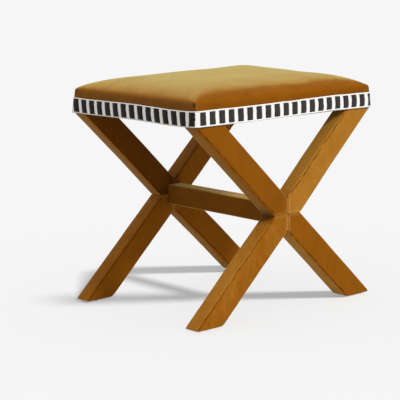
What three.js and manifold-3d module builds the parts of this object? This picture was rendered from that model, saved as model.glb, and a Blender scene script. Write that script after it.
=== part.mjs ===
// Upholstered stool: a padded velvet seat with a tape band, on two crossed-leg frames joined by a stretcher.
// Millimetres, +Z up. The origin is on the floor under the middle of the seat. +X runs along the frames,
// and +Y runs along the stretcher, from the front frame to the back frame.
import * as THREE from "three";
import { mergeVertices, toCreasedNormals } from "three/addons/utils/BufferGeometryUtils.js";
import Module from "manifold-3d";

const wasm = await Module();
wasm.setup();

// Seat, measured over its velvet
const seatWidth = 516;
const seatDepth = 396;
const seatUndersideHeight = 420;
const seatCornerRadius = 5;
const seatWallHeight = 46; // straight part of the side, up from the underside
const sideDraw = 1; // how far the side leans in between the deck's top and the round edge
const shoulderRun = 96; // how far in from the side the round edge reaches
const shoulderRise = 30;
const cornerFillShare = 0.75; // how full the cushion is where two round edges meet, 1 for a sharp ridge
const crownRise = 4; // how far the middle stands above the round edge
const cornerTuck = 1.5; // depth of the crease where the cover is folded at a corner

// Layers of upholstery
const velvetThickness = 1.4;
const seatWaddingThickness = 4;
const legWaddingThickness = 2;
const turnUnder = 25; // velvet folded under the seat frame
const dustCoverThickness = 0.8;
const dustCoverMargin = 9;
const dustCoverLegRoom = 2;

// Tape band round the seat, with a thicker woven edge along its top and bottom
const tapeHeight = 35;
const tapeThickness = 1.2;
const tapeEdgeHeight = 2.6;
const tapeEdgeProud = 0.5;
const tapeLean = 1.2; // how far the bottom stands out past the top

// Seat frame
const railWidth = 40;
const railHeight = 25;
const lapMargin = 3; // wood between a screw's washer and the lap of two rails
const deckThickness = 9;

// Legs, measured over their velvet. Their tops come flush with the seat's sides.
const legWidth = 54;
const legThickness = 36.5;
const footSplay = 6.5; // how much further out a leg's centreline is at the foot than at the top
const legEdgeRadius = 2.5;
const footCornerRadius = 9;

// Stretcher, measured over its velvet
const stretcherWidth = 41.5;
const stretcherHeight = 44;

// Glides under the feet
const glideRadius = 9;
const glideHeight = 3;
const glideChamfer = 0.8;
const glideNailRadius = 1.5;
const glideNailLength = 14;

// Coach screws that hold the seat frame down on the legs
const seatScrewRadius = 4;
const seatScrewHeadRadius = 7.5;
const seatScrewHeadHeight = 5.5;
const seatScrewEmbed = 36;
const seatScrewTip = 8;
const seatWasherRadius = 8;
const seatWasherThickness = 1.6;

// Bolts, washers, barrel nuts and dowels at the ends of the stretcher
const boltRadius = 4;
const boltHeadRadius = 6.5;
const boltHeadHeight = 8;
const boltSocketRadius = 3.3;
const boltSocketDepth = 4;
const boltReach = 36;
const boltWasherRadius = 10;
const boltWasherThickness = 1.6;
const barrelNutRadius = 6;
const barrelNutLength = 20;
const barrelNutSetback = 26;
const dowelRadius = 4;
const dowelSpacing = 23;
const dowelFrameDepth = 11;
const dowelStretcherDepth = 16;

// Countersunk screws that hold the deck on the rails
const deckScrewRadius = 2;
const deckScrewHeadRadius = 4;
const deckScrewHeadHeight = 2.6;
const deckScrewLength = 28;
const deckScrewPlaceShare = 0.42; // of the half width of the seat frame

// Clearances, and how far a cutter runs past what it cuts
const fitGap = 0.3;
const overrun = 6;

// Facets
const roundSides = 16;
const hexSides = 6;
const cornerSteps = 4;
const sideSteps = 8;
const shoulderSteps = 6;
const crownRingShares = [0.22, 0.5, 0.82];
const edgeSteps = 2;
const weldDistance = 1e-4;
const creaseAngle = Math.PI / 5;

const materials = {
  velvet: material(0x9a6118, 0.85, 0),
  wadding: material(0xece8df, 0.95, 0),
  foam: material(0xe9dfb4, 0.95, 0),
  tape: material(0xe9e6df, 0.9, 0),
  cambric: material(0x1d1c1c, 0.95, 0),
  pine: material(0xd3ae74, 0.7, 0),
  plywood: material(0xc79c62, 0.7, 0),
  beech: material(0xd9b98a, 0.6, 0),
  nylon: material(0x3a2c1c, 0.5, 0),
  steel: material(0xb4b6b8, 0.35, 1),
};

function material(color, roughness, metalness) {
  return new THREE.MeshStandardMaterial({ color, roughness, metalness });
}

// Heights, from the floor up
const footZ = glideHeight + fitGap;
const legTopZ = seatUndersideHeight;
const dustCoverZ = seatUndersideHeight - dustCoverThickness;
const turnUnderZ = seatUndersideHeight + fitGap;
const railZ = turnUnderZ + velvetThickness + fitGap;
const railTopZ = railZ + railHeight;
const deckZ = railTopZ + fitGap;
const deckTopZ = deckZ + deckThickness;
const foamZ = deckTopZ + fitGap;

// How deep each seat layer starts below the velvet's outer face
const seatWaddingDepth = velvetThickness + fitGap;
const seatCoreDepth = seatWaddingDepth + seatWaddingThickness + fitGap;
const coreWidth = seatWidth - 2 * seatCoreDepth;
const coreDepth = seatDepth - 2 * seatCoreDepth;

// The same for the legs and the stretcher
const legWaddingDepth = velvetThickness + fitGap;
const legWoodDepth = legWaddingDepth + legWaddingThickness + fitGap;

// How far a leg's centreline runs sideways from foot to top. The outer corner of its top is flush with the
// seat's side, so this solves legRun = legReach - legWidth / sin(slope), where tan(slope) = legRise / legRun.
const legRise = legTopZ - footZ;
const legReach = seatWidth + footSplay;
const slimness = (legWidth / legRise) ** 2;
const legRootTerm = slimness * legReach ** 2 + (1 - slimness) * legWidth ** 2;
const legRun = (legReach - Math.sqrt(legRootTerm)) / (1 - slimness);

// The slope of the legs, the point where they cross, and the planes of the front frame
const legTopSpread = (legRun - footSplay) / 2;
const legFootSpread = (legRun + footSplay) / 2;
const legSlope = legRise / legRun;
const crossingZ = footZ + legSlope * legFootSpread;
const legOuterY = -seatDepth / 2;
const legMiddleY = legOuterY + legThickness / 2;
const legInnerY = legOuterY + legThickness;
const legWoodOuterY = legOuterY + legWoodDepth;
const legWoodInnerY = legInnerY - legWoodDepth;
const stretcherEndY = legWoodInnerY + fitGap;

// A closed three.js geometry as a solid that can be cut and joined
function solidOf(geometry) {
  const bare = new THREE.BufferGeometry();
  bare.setAttribute("position", geometry.getAttribute("position"));
  bare.setIndex(geometry.index);
  const welded = mergeVertices(bare, weldDistance);
  const corners = Array.from(welded.index.array);
  const triVerts = [];
  for (let i = 0; i < corners.length; i += 3) {
    const [a, b, c] = corners.slice(i, i + 3);
    if (a !== b && b !== c && c !== a) triVerts.push(a, b, c);
  }
  return new wasm.Manifold(
    new wasm.Mesh({
      numProp: 3,
      vertProperties: new Float32Array(welded.getAttribute("position").array),
      triVerts: new Uint32Array(triVerts),
    }),
  );
}

// A named mesh for one piece
function piece(name, solid, finish) {
  const { vertProperties, triVerts } = solid.getMesh();
  const geometry = new THREE.BufferGeometry();
  geometry.setAttribute("position", new THREE.BufferAttribute(vertProperties, 3));
  geometry.setIndex(new THREE.BufferAttribute(triVerts, 1));
  const mesh = new THREE.Mesh(toCreasedNormals(geometry, creaseAngle), finish);
  mesh.name = name;
  return mesh;
}

// A block between two corners
function block([x0, y0, z0], [x1, y1, z1]) {
  const geometry = new THREE.BoxGeometry(x1 - x0, y1 - y0, z1 - z0);
  return solidOf(geometry.translate((x0 + x1) / 2, (y0 + y1) / 2, (z0 + z1) / 2));
}

// Round stock along Z or Y, between two places on that axis
function rodZ(radius, x, y, z0, z1, sides = roundSides) {
  const geometry = new THREE.CylinderGeometry(radius, radius, z1 - z0, sides);
  return solidOf(geometry.rotateX(Math.PI / 2).translate(x, y, (z0 + z1) / 2));
}

function rodY(radius, x, z, y0, y1, sides = roundSides) {
  const geometry = new THREE.CylinderGeometry(radius, radius, y1 - y0, sides);
  return solidOf(geometry.translate(x, (y0 + y1) / 2, z));
}

// A turned piece that stands up along Z on the point x, y, z, from its outline as radius and height
function turned(outline, x, y, z, sides = roundSides) {
  const points = outline.map(([radius, height]) => new THREE.Vector2(radius, height));
  const geometry = new THREE.LatheGeometry(points, sides);
  return solidOf(geometry.rotateX(Math.PI / 2).translate(x, y, z));
}

// A flat washer along Z, lying on the height z
function washerZ(radius, bore, thickness, x, y, z) {
  const hole = rodZ(bore, x, y, z - overrun, z + thickness + overrun);
  return rodZ(radius, x, y, z, z + thickness).subtract(hole);
}

// A polygon whose corners are rounded by the radius given for each
function roundedPolygon(corners, radii) {
  const shape = new THREE.Shape();
  corners.forEach((corner, i) => {
    const before = corners.at(i - 1).clone().sub(corner).setLength(radii[i]).add(corner);
    const after = corners[(i + 1) % corners.length].clone().sub(corner).setLength(radii[i]).add(corner);
    if (i === 0) shape.moveTo(before.x, before.y);
    else shape.lineTo(before.x, before.y);
    if (radii[i] > 0) shape.quadraticCurveTo(corner.x, corner.y, after.x, after.y);
  });
  shape.closePath();
  return shape;
}

// A bar with a given section, centred on the origin and standing along Z
function bar(section, length) {
  const settings = { depth: length, curveSegments: edgeSteps, bevelEnabled: false };
  return new THREE.ExtrudeGeometry(section, settings).translate(0, 0, -length / 2);
}

// A rectangle with its corners rounded, centred on the origin
function roundedRectangle(width, height, radius) {
  const corners = [[-1, -1], [1, -1], [1, 1], [-1, 1]].map(
    ([sx, sy]) => new THREE.Vector2((sx * width) / 2, (sy * height) / 2),
  );
  return roundedPolygon(corners, corners.map(() => radius));
}

// A ring of points round a rectangle with round corners, anticlockwise from above. The middle of each
// corner can be drawn in by a tuck.
function roundedRing(halfX, halfY, radius, heightAt, tuck = 0) {
  const ring = [];
  const centres = [[1, 1], [-1, 1], [-1, -1], [1, -1]].map(([sx, sy]) => [
    sx * (halfX - radius),
    sy * (halfY - radius),
  ]);
  centres.forEach(([x, y], quarter) => {
    for (let step = 0; step <= cornerSteps; step++) {
      const turn = ((quarter + step / cornerSteps) * Math.PI) / 2;
      const reach = radius - tuck * Math.sin((Math.PI * step) / cornerSteps) ** 4;
      ring.push([x + reach * Math.cos(turn), y + reach * Math.sin(turn)]);
    }
    const [nextX, nextY] = centres[(quarter + 1) % centres.length];
    const [endX, endY] = ring.at(-1);
    for (let step = 1; step < sideSteps; step++) {
      const share = step / sideSteps;
      ring.push([endX + (nextX - x) * share, endY + (nextY - y) * share]);
    }
  });
  return ring.map(([x, y]) => [x, y, heightAt(x, y)]);
}

// A solid through rings that follow each other upwards, closed with a flat or domed cap at each end
function loft(rings) {
  const count = rings[0].length;
  const middle = (ring) => [0, 0, ring.reduce((sum, point) => sum + point[2], 0) / count];
  const points = [...rings.flat(), middle(rings[0]), middle(rings.at(-1))];
  const bottom = points.length - 2;
  const top = points.length - 1;
  const faces = [];
  for (let i = 0; i < count; i++) {
    const next = (i + 1) % count;
    for (let ring = 0; ring < rings.length - 1; ring++) {
      const low = ring * count;
      const high = low + count;
      faces.push(low + i, low + next, high + next, low + i, high + next, high + i);
    }
    const last = (rings.length - 1) * count;
    faces.push(bottom, next, i, top, last + i, last + next);
  }
  return solidOf(geometryOf(points, faces));
}

// A closed band through rings that follow each other and come back to the first
function bandLoft(rings) {
  const count = rings[0].length;
  const faces = [];
  rings.forEach((_, ring) => {
    const low = ring * count;
    const high = ((ring + 1) % rings.length) * count;
    for (let i = 0; i < count; i++) {
      const next = (i + 1) % count;
      faces.push(low + i, low + next, high + next, low + i, high + next, high + i);
    }
  });
  return solidOf(geometryOf(rings.flat(), faces));
}

function geometryOf(points, faces) {
  const geometry = new THREE.BufferGeometry();
  geometry.setAttribute("position", new THREE.Float32BufferAttribute(points.flat(), 3));
  geometry.setIndex(faces);
  return geometry;
}

// Legs

// Where a leg's centreline is at a height. A lean of 1 rises to the right and -1 rises to the left.
function legCentreX(lean, z) {
  return (lean * (z - crossingZ)) / legSlope;
}

// Half of a leg's width, measured along X instead of square to the leg
function halfAcross(width) {
  return width / 2 / Math.sin(Math.atan(legSlope));
}

// One whole leg of the front frame, at a depth below the velvet's outer face, from foot to top
function legSolid(lean, depth, foot, top, edgeRadius = 0) {
  const width = legWidth - 2 * depth;
  const half = halfAcross(width);
  const section = roundedRectangle(width, legThickness - 2 * depth, edgeRadius);
  const stock = bar(section, 2 * legRun);
  stock.rotateY(lean * (Math.PI / 2 - Math.atan(legSlope))).translate(0, legMiddleY, crossingZ);
  const corners = [
    new THREE.Vector2(legCentreX(lean, foot) - half, foot),
    new THREE.Vector2(legCentreX(lean, foot) + half, foot),
    new THREE.Vector2(legCentreX(lean, top) + half, top),
    new THREE.Vector2(legCentreX(lean, top) - half, top),
  ];
  const outline = roundedPolygon(corners, [footCornerRadius, footCornerRadius, 0, 0]);
  const profile = bar(outline, 2 * legThickness).rotateX(Math.PI / 2).translate(0, legMiddleY, 0);
  return solidOf(stock).intersect(solidOf(profile));
}

// The quarter of the frame that one arm of the X fills, up to the mitres with its neighbours
function mitreQuarter(side, level) {
  const farX = side * legRun;
  const nearX = (side * fitGap) / 2;
  const nearZ = crossingZ + (level * fitGap) / 2;
  const farZ = level > 0 ? legTopZ : -overrun;
  return block(
    [Math.min(nearX, farX), legOuterY - overrun, Math.min(nearZ, farZ)],
    [Math.max(nearX, farX), legInnerY + overrun, Math.max(nearZ, farZ)],
  );
}

// Where the coach screw stands in a leg: on the centreline at half of its depth in the wood
const seatScrewX = legCentreX(1, legTopZ - seatScrewEmbed / 2);
const glideX = Math.abs(legCentreX(1, footZ));

// What is bored in a frame's wood, and what the stretcher's end needs through its upholstery
const screwBore = (side) =>
  rodZ(seatScrewRadius + fitGap, side * seatScrewX, legMiddleY, legTopZ - seatScrewEmbed - fitGap, railTopZ);
const nailBore = (side) =>
  rodZ(glideNailRadius + fitGap, side * glideX, legMiddleY, -overrun, glideHeight + glideNailLength + fitGap);
const headRecessDepth = boltHeadHeight + boltWasherThickness + 2 * fitGap;
const boltSeatY = legWoodOuterY + headRecessDepth;
const boltBore = rodY(boltRadius + fitGap, 0, crossingZ, legOuterY, legInnerY + overrun)
  .add(rodY(boltWasherRadius + fitGap, 0, crossingZ, legOuterY - overrun, boltSeatY));
const dowelBore = (level) => {
  const z = crossingZ + (level * dowelSpacing) / 2;
  return rodY(dowelRadius + fitGap, 0, z, legWoodInnerY - dowelFrameDepth, legInnerY + overrun);
};
const stretcherWoodWidth = stretcherWidth - 2 * legWoodDepth;
const stretcherWoodHeight = stretcherHeight - 2 * legWoodDepth;
const stretcherWindow = block(
  [-stretcherWoodWidth / 2 - fitGap, legMiddleY, crossingZ - stretcherWoodHeight / 2 - fitGap],
  [stretcherWoodWidth / 2 + fitGap, legInnerY + overrun, crossingZ + stretcherWoodHeight / 2 + fitGap],
);

// The wood of one leg, cut to half its thickness where it crosses the other leg
function legWood(lean) {
  const woodFootZ = footZ + velvetThickness + fitGap;
  const towards = lean > 0 ? [legMiddleY - fitGap / 2, legInnerY] : [legOuterY, legMiddleY + fitGap / 2];
  const halving = block(
    [-legTopSpread, towards[0], footZ],
    [legTopSpread, towards[1], legTopZ],
  ).intersect(legSolid(-lean, legWoodDepth - fitGap, -overrun, legTopZ + overrun));
  return legSolid(lean, legWoodDepth, woodFootZ, legTopZ)
    .subtract(halving)
    .subtract(screwBore(lean))
    .subtract(nailBore(-lean))
    .subtract(boltBore)
    .subtract(dowelBore(1))
    .subtract(dowelBore(-1));
}

// The wadding round one arm, open at both ends
function armWadding(side, level) {
  const lean = side * level;
  const waddingFootZ = footZ + velvetThickness + fitGap;
  return legSolid(lean, legWaddingDepth, waddingFootZ, legTopZ, legEdgeRadius - velvetThickness)
    .intersect(mitreQuarter(side, level))
    .subtract(legSolid(lean, legWoodDepth - fitGap, -overrun, legTopZ + overrun))
    .subtract(stretcherWindow);
}

// The velvet sleeve of one arm. A lower arm's sleeve is closed under the foot, round the glide's nail.
function armCover(side, level) {
  const lean = side * level;
  return legSolid(lean, 0, footZ, legTopZ + overrun, legEdgeRadius)
    .intersect(mitreQuarter(side, level))
    .subtract(legSolid(lean, velvetThickness, footZ + velvetThickness, legTopZ + overrun))
    .subtract(nailBore(-lean))
    .subtract(stretcherWindow);
}

// A nail-on glide: a chamfered disc with its nail standing up into the foot
function glide(side) {
  const outline = [
    [0, 0],
    [glideRadius - glideChamfer, 0],
    [glideRadius, glideChamfer],
    [glideRadius, glideHeight],
    [glideNailRadius, glideHeight],
    [glideNailRadius, glideHeight + glideNailLength - 2 * glideNailRadius],
    [0, glideHeight + glideNailLength],
  ];
  return turned(outline, side * glideX, legMiddleY, 0);
}

// Screws and washers that hold the seat down on one frame
const seatScrewSeatZ = railTopZ - fitGap - seatScrewHeadHeight - seatWasherThickness;
function seatScrew(side) {
  const tipZ = legTopZ - seatScrewEmbed;
  const seatZ = seatScrewSeatZ + seatWasherThickness;
  const shank = [
    [0, tipZ],
    [seatScrewRadius, tipZ + seatScrewTip],
    [seatScrewRadius, seatZ + seatScrewHeadHeight / 2],
    [0, seatZ + seatScrewHeadHeight / 2],
  ];
  const x = side * seatScrewX;
  const head = rodZ(seatScrewHeadRadius, x, legMiddleY, seatZ, seatZ + seatScrewHeadHeight, hexSides);
  return turned(shank, x, legMiddleY, 0).add(head);
}

function seatWasher(side) {
  const bore = seatScrewRadius + fitGap;
  return washerZ(seatWasherRadius, bore, seatWasherThickness, side * seatScrewX, legMiddleY, seatScrewSeatZ);
}

const screwRecess = (side) => {
  const radius = seatWasherRadius + fitGap;
  return rodZ(radius, side * seatScrewX, legMiddleY, seatScrewSeatZ, railTopZ + overrun);
};

// The bolt, its washer, the barrel nut and the dowels at one end of the stretcher
const boltHeadY = boltSeatY - boltWasherThickness - boltHeadHeight;
const boltEndY = stretcherEndY + boltReach;
function stretcherBolt() {
  const head = rodY(boltHeadRadius, 0, crossingZ, boltHeadY, boltHeadY + boltHeadHeight);
  const socketEndY = boltHeadY + boltSocketDepth;
  const socket = rodY(boltSocketRadius, 0, crossingZ, boltHeadY - overrun, socketEndY, hexSides);
  const shank = rodY(boltRadius, 0, crossingZ, boltHeadY + boltHeadHeight / 2, boltEndY);
  return shank.add(head).subtract(socket);
}

function boltWasher() {
  const outer = rodY(boltWasherRadius, 0, crossingZ, boltSeatY - boltWasherThickness, boltSeatY);
  return outer.subtract(rodY(boltRadius + fitGap, 0, crossingZ, boltHeadY, boltSeatY + overrun));
}

const barrelNutY = stretcherEndY + barrelNutSetback;
function barrelNut() {
  const bottomZ = crossingZ - barrelNutLength / 2;
  const nut = rodZ(barrelNutRadius, 0, barrelNutY, bottomZ, bottomZ + barrelNutLength);
  return nut.subtract(rodY(boltRadius + fitGap, 0, crossingZ, stretcherEndY, boltEndY + overrun));
}

function dowel(level) {
  const z = crossingZ + (level * dowelSpacing) / 2;
  const startY = legWoodInnerY - dowelFrameDepth + fitGap;
  return rodY(dowelRadius, 0, z, startY, stretcherEndY + dowelStretcherDepth);
}

// One frame, as the front one. The back frame is the same group turned half round.
function buildFrame(place, leftName, rightName) {
  const group = new THREE.Group();
  const sideNames = { [-1]: leftName, [1]: rightName };
  const levelNames = { [-1]: "lower", [1]: "upper" };
  group.add(piece(`${place}_frame_rising_leg`, legWood(1), materials.pine));
  group.add(piece(`${place}_frame_falling_leg`, legWood(-1), materials.pine));
  for (const side of [-1, 1]) {
    const sideName = sideNames[side];
    for (const level of [-1, 1]) {
      const arm = `${place}_${levelNames[level]}_${sideName}`;
      group.add(piece(`${arm}_wadding`, armWadding(side, level), materials.wadding));
      group.add(piece(`${arm}_cover`, armCover(side, level), materials.velvet));
    }
    group.add(piece(`glide_${place}_${sideName}`, glide(side), materials.nylon));
    group.add(piece(`seat_screw_${place}_${sideName}`, seatScrew(side), materials.steel));
    group.add(piece(`seat_washer_${place}_${sideName}`, seatWasher(side), materials.steel));
  }
  group.add(piece(`stretcher_bolt_${place}`, stretcherBolt(), materials.steel));
  group.add(piece(`stretcher_washer_${place}`, boltWasher(), materials.steel));
  group.add(piece(`barrel_nut_${place}`, barrelNut(), materials.steel));
  group.add(piece(`dowel_${place}_upper`, dowel(1), materials.beech));
  group.add(piece(`dowel_${place}_lower`, dowel(-1), materials.beech));
  return group;
}

// Stretcher

// A bar along Y on the crossing points, at a depth below the stretcher's velvet
function stretcherBar(depth, halfLength, edgeRadius = 0) {
  const section = roundedRectangle(stretcherWidth - 2 * depth, stretcherHeight - 2 * depth, edgeRadius);
  return solidOf(bar(section, 2 * halfLength).rotateX(Math.PI / 2).translate(0, 0, crossingZ));
}

function buildStretcher() {
  const group = new THREE.Group();
  const turnedRound = (solid) => solid.add(solid.rotate([0, 0, 180]));
  const boreY = [stretcherEndY - overrun, boltEndY + fitGap];
  const dowelEndY = stretcherEndY + dowelStretcherDepth + fitGap;
  const nutRadius = barrelNutRadius + fitGap;
  const nutTopZ = crossingZ + barrelNutLength / 2 + fitGap;
  let bores = rodY(boltRadius + fitGap, 0, crossingZ, ...boreY)
    .add(rodZ(nutRadius, 0, barrelNutY, crossingZ - stretcherHeight, nutTopZ));
  for (const level of [-1, 1]) {
    const z = crossingZ + (level * dowelSpacing) / 2;
    bores = bores.add(rodY(dowelRadius + fitGap, 0, z, stretcherEndY - overrun, dowelEndY));
  }
  const core = stretcherBar(legWoodDepth, -stretcherEndY).subtract(turnedRound(bores));
  const coverHalf = -legInnerY - fitGap;
  const softRadius = legEdgeRadius - velvetThickness;
  const wadding = stretcherBar(legWaddingDepth, coverHalf, softRadius)
    .subtract(stretcherBar(legWoodDepth - fitGap, coverHalf + overrun));
  const cover = stretcherBar(0, coverHalf, legEdgeRadius)
    .subtract(stretcherBar(velvetThickness, coverHalf + overrun, softRadius));
  group.add(piece("stretcher_core", core, materials.pine));
  group.add(piece("stretcher_wadding", wadding, materials.wadding));
  group.add(piece("stretcher_cover", cover, materials.velvet));
  return group;
}

// Seat

// Height of the velvet at a place on the seat: a round edge along each side, a soft ridge where two of them
// meet at a corner, and a low crown
function seatTopZ(x, y) {
  const shoulder = (inFromSide) => {
    const left = 1 - Math.max(inFromSide - sideDraw, 0) / shoulderRun;
    return Math.sqrt(1 - Math.max(left, 0) ** 2);
  };
  const power = 1 / (1 - cornerFillShare);
  const fromEnds = shoulder(seatWidth / 2 - Math.abs(x)) ** -power;
  const fromSides = shoulder(seatDepth / 2 - Math.abs(y)) ** -power;
  const shoulders = (fromEnds + fromSides - 1) ** (-1 / power);
  const crown = (1 - ((2 * x) / seatWidth) ** 2) * (1 - ((2 * y) / seatDepth) ** 2);
  return seatUndersideHeight + seatWallHeight + shoulderRise * shoulders + crownRise * crown;
}

// The radius of a layer's corners at a depth below the velvet's outer face
function cornerRadiusAt(depth) {
  return Math.max(seatCornerRadius - depth, cornerTuck + velvetThickness);
}

// The cushion's form at a depth below the velvet's outer face, down to a height
function cushionSolid(depth, bottomZ) {
  const halfX = seatWidth / 2 - depth;
  const halfY = seatDepth / 2 - depth;
  const radius = cornerRadiusAt(depth);
  const topAt = (x, y) => seatTopZ((x / halfX) * (seatWidth / 2), (y / halfY) * (seatDepth / 2)) - depth;
  const ringAt = (inset, heightAt, tuck) => {
    const left = 1 - inset / halfY;
    return roundedRing(halfX - inset, halfY - inset, radius * left, heightAt, tuck * left);
  };
  const rings = [ringAt(0, () => bottomZ, 0)];
  if (bottomZ < foamZ) rings.push(ringAt(0, () => foamZ, 0));
  for (let step = 0; step <= shoulderSteps; step++) {
    const turn = (step / shoulderSteps) * (Math.PI / 2);
    rings.push(ringAt(sideDraw + shoulderRun * (1 - Math.cos(turn)), topAt, cornerTuck));
  }
  const crownStart = sideDraw + shoulderRun;
  for (const share of crownRingShares)
    rings.push(ringAt(crownStart + (halfY - crownStart) * share, topAt, cornerTuck));
  return loft(rings);
}

// A flat column with the seat's plan at a depth below the velvet's outer face
function seatColumn(depth, z0, z1) {
  const radius = cornerRadiusAt(depth);
  const ringAt = (z) => roundedRing(seatWidth / 2 - depth, seatDepth / 2 - depth, radius, () => z);
  return loft([ringAt(z0), ringAt(z1)]);
}

// All four coach screws' bores or recesses, from those of the front frame
function allRound(cutter) {
  const front = cutter(-1).add(cutter(1));
  return front.add(front.rotate([0, 0, 180]));
}

const screwBores = allRound(screwBore);
const screwRecesses = allRound(screwRecess);

// Rails, lapped at the corners outside the coach screws: the long rails keep their lower half there, and
// the short rails their upper half
const lapX = seatScrewX + seatWasherRadius + lapMargin;
const lapY = coreDepth / 2 - railWidth;
const lapZ = railZ + railHeight / 2;
function longRail(side) {
  const [y0, y1] = side < 0 ? [-coreDepth / 2, -lapY] : [lapY, coreDepth / 2];
  let rail = block([-coreWidth / 2, y0, railZ], [coreWidth / 2, y1, railTopZ]);
  for (const [x0, x1] of [[-seatWidth, -lapX], [lapX, seatWidth]]) {
    const lap = block([x0, y0 - overrun, lapZ - fitGap / 2], [x1, y1 + overrun, railTopZ + overrun]);
    rail = rail.subtract(lap);
  }
  return finishRail(rail);
}

function shortRail(side) {
  const innerX = lapX + fitGap;
  const innerY = lapY - fitGap;
  const [x0, x1] = side < 0 ? [-coreWidth / 2, -innerX] : [innerX, coreWidth / 2];
  let rail = block([x0, -coreDepth / 2, railZ], [x1, coreDepth / 2, railTopZ]);
  for (const [y0, y1] of [[-seatDepth, -innerY], [innerY, seatDepth]]) {
    const lap = block([x0 - overrun, y0, railZ - overrun], [x1 + overrun, y1, lapZ + fitGap / 2]);
    rail = rail.subtract(lap);
  }
  return finishRail(rail);
}

const deckScrewX = (coreWidth / 2) * deckScrewPlaceShare;
const deckScrewY = coreDepth / 2 - railWidth / 2;
const deckScrewPlaces = [[-1, -1], [1, -1], [1, 1], [-1, 1]];

// A countersunk screw, or the room for one with some clearance round it
function deckScrew([sx, sy], clearance = 0) {
  const outline = [
    [0, deckTopZ - deckScrewLength - clearance],
    [deckScrewRadius + clearance, deckTopZ - deckScrewLength + deckScrewHeadRadius - clearance],
    [deckScrewRadius + clearance, deckTopZ - deckScrewHeadHeight - clearance],
    [deckScrewHeadRadius + clearance, deckTopZ],
    [deckScrewHeadRadius + clearance, deckTopZ + clearance],
    [0, deckTopZ + clearance],
  ].filter(([radius, height], i, all) => i === 0 || height !== all[i - 1][1] || radius !== all[i - 1][0]);
  return turned(outline, sx * deckScrewX, sy * deckScrewY, 0);
}

const deckScrewRoom = deckScrewPlaces
  .map((place) => deckScrew(place, fitGap))
  .reduce((all, room) => all.add(room));

function finishRail(rail) {
  return rail
    .intersect(seatColumn(seatCoreDepth, railZ - overrun, railTopZ + overrun))
    .subtract(screwBores)
    .subtract(screwRecesses)
    .subtract(deckScrewRoom);
}

// Velvet cover: over the cushion, down its sides and turned under the frame
function seatCover() {
  const openX = seatWidth / 2 - turnUnder;
  const openY = seatDepth / 2 - turnUnder;
  return cushionSolid(0, turnUnderZ)
    .subtract(cushionSolid(velvetThickness, turnUnderZ + velvetThickness))
    .subtract(block([-openX, -openY, turnUnderZ - overrun], [openX, openY, railZ]))
    .subtract(screwBores);
}

// Tape band, with its thicker edges, leaning out a little towards the bottom
function trimTape() {
  const bottom = seatUndersideHeight;
  const top = bottom + tapeHeight;
  const back = fitGap;
  const face = back + tapeThickness;
  const edge = face + tapeEdgeProud;
  const outline = [
    [edge, bottom],
    [edge, bottom + tapeEdgeHeight],
    [face, bottom + tapeEdgeHeight + tapeEdgeProud],
    [face, top - tapeEdgeHeight - tapeEdgeProud],
    [edge, top - tapeEdgeHeight],
    [edge, top],
    [back, top],
    [back, bottom],
  ];
  const rings = outline.map(([out, z]) => {
    const lean = out > back ? tapeLean * (1 - (z - bottom) / tapeHeight) : 0;
    const reach = out + lean;
    return roundedRing(seatWidth / 2 + reach, seatDepth / 2 + reach, seatCornerRadius + reach, () => z);
  });
  return bandLoft(rings);
}

// Dust cover: black cloth under the seat, cut out round the tops of the legs
function dustCover() {
  const halfX = seatWidth / 2 - dustCoverMargin;
  const halfY = seatDepth / 2 - dustCoverMargin;
  const legX = legTopSpread - halfAcross(legWidth) - dustCoverLegRoom;
  const legY = -legInnerY - dustCoverLegRoom;
  const sheet = block([-halfX, -halfY, dustCoverZ], [halfX, halfY, dustCoverZ + dustCoverThickness]);
  const corner = block([legX, legY, dustCoverZ - overrun], [seatWidth, seatDepth, railZ]);
  const otherCorner = block([-seatWidth, legY, dustCoverZ - overrun], [-legX, seatDepth, railZ]);
  const back = corner.add(otherCorner);
  return sheet.subtract(back).subtract(back.rotate([0, 0, 180]));
}

function buildSeat() {
  const group = new THREE.Group();
  const coreHalfX = coreWidth / 2;
  const coreHalfY = coreDepth / 2;
  const deck = block([-coreHalfX, -coreHalfY, deckZ], [coreHalfX, coreHalfY, deckTopZ])
    .intersect(seatColumn(seatCoreDepth, railZ, deckTopZ + overrun))
    .subtract(deckScrewRoom);
  const wadding = cushionSolid(seatWaddingDepth, railZ)
    .subtract(cushionSolid(seatCoreDepth - fitGap, railZ - overrun));
  group.add(piece("seat_front_rail", longRail(-1), materials.pine));
  group.add(piece("seat_back_rail", longRail(1), materials.pine));
  group.add(piece("seat_left_rail", shortRail(-1), materials.pine));
  group.add(piece("seat_right_rail", shortRail(1), materials.pine));
  group.add(piece("seat_deck", deck, materials.plywood));
  deckScrewPlaces.forEach((place, i) => {
    group.add(piece(`deck_screw_${i + 1}`, deckScrew(place), materials.steel));
  });
  group.add(piece("seat_foam", cushionSolid(seatCoreDepth, foamZ), materials.foam));
  group.add(piece("seat_wadding", wadding, materials.wadding));
  group.add(piece("seat_cover", seatCover(), materials.velvet));
  group.add(piece("trim_tape", trimTape(), materials.tape));
  group.add(piece("dust_cover", dustCover(), materials.cambric));
  return group;
}

const stool = new THREE.Group();
const backFrame = buildFrame("back", "right", "left");
backFrame.rotation.z = Math.PI;
stool.add(buildFrame("front", "left", "right"), backFrame, buildStretcher(), buildSeat());

export default stool;
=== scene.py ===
import math
from itertools import product
from types import SimpleNamespace

import bpy
import numpy as np
from mathutils import Matrix, Vector, noise


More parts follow.
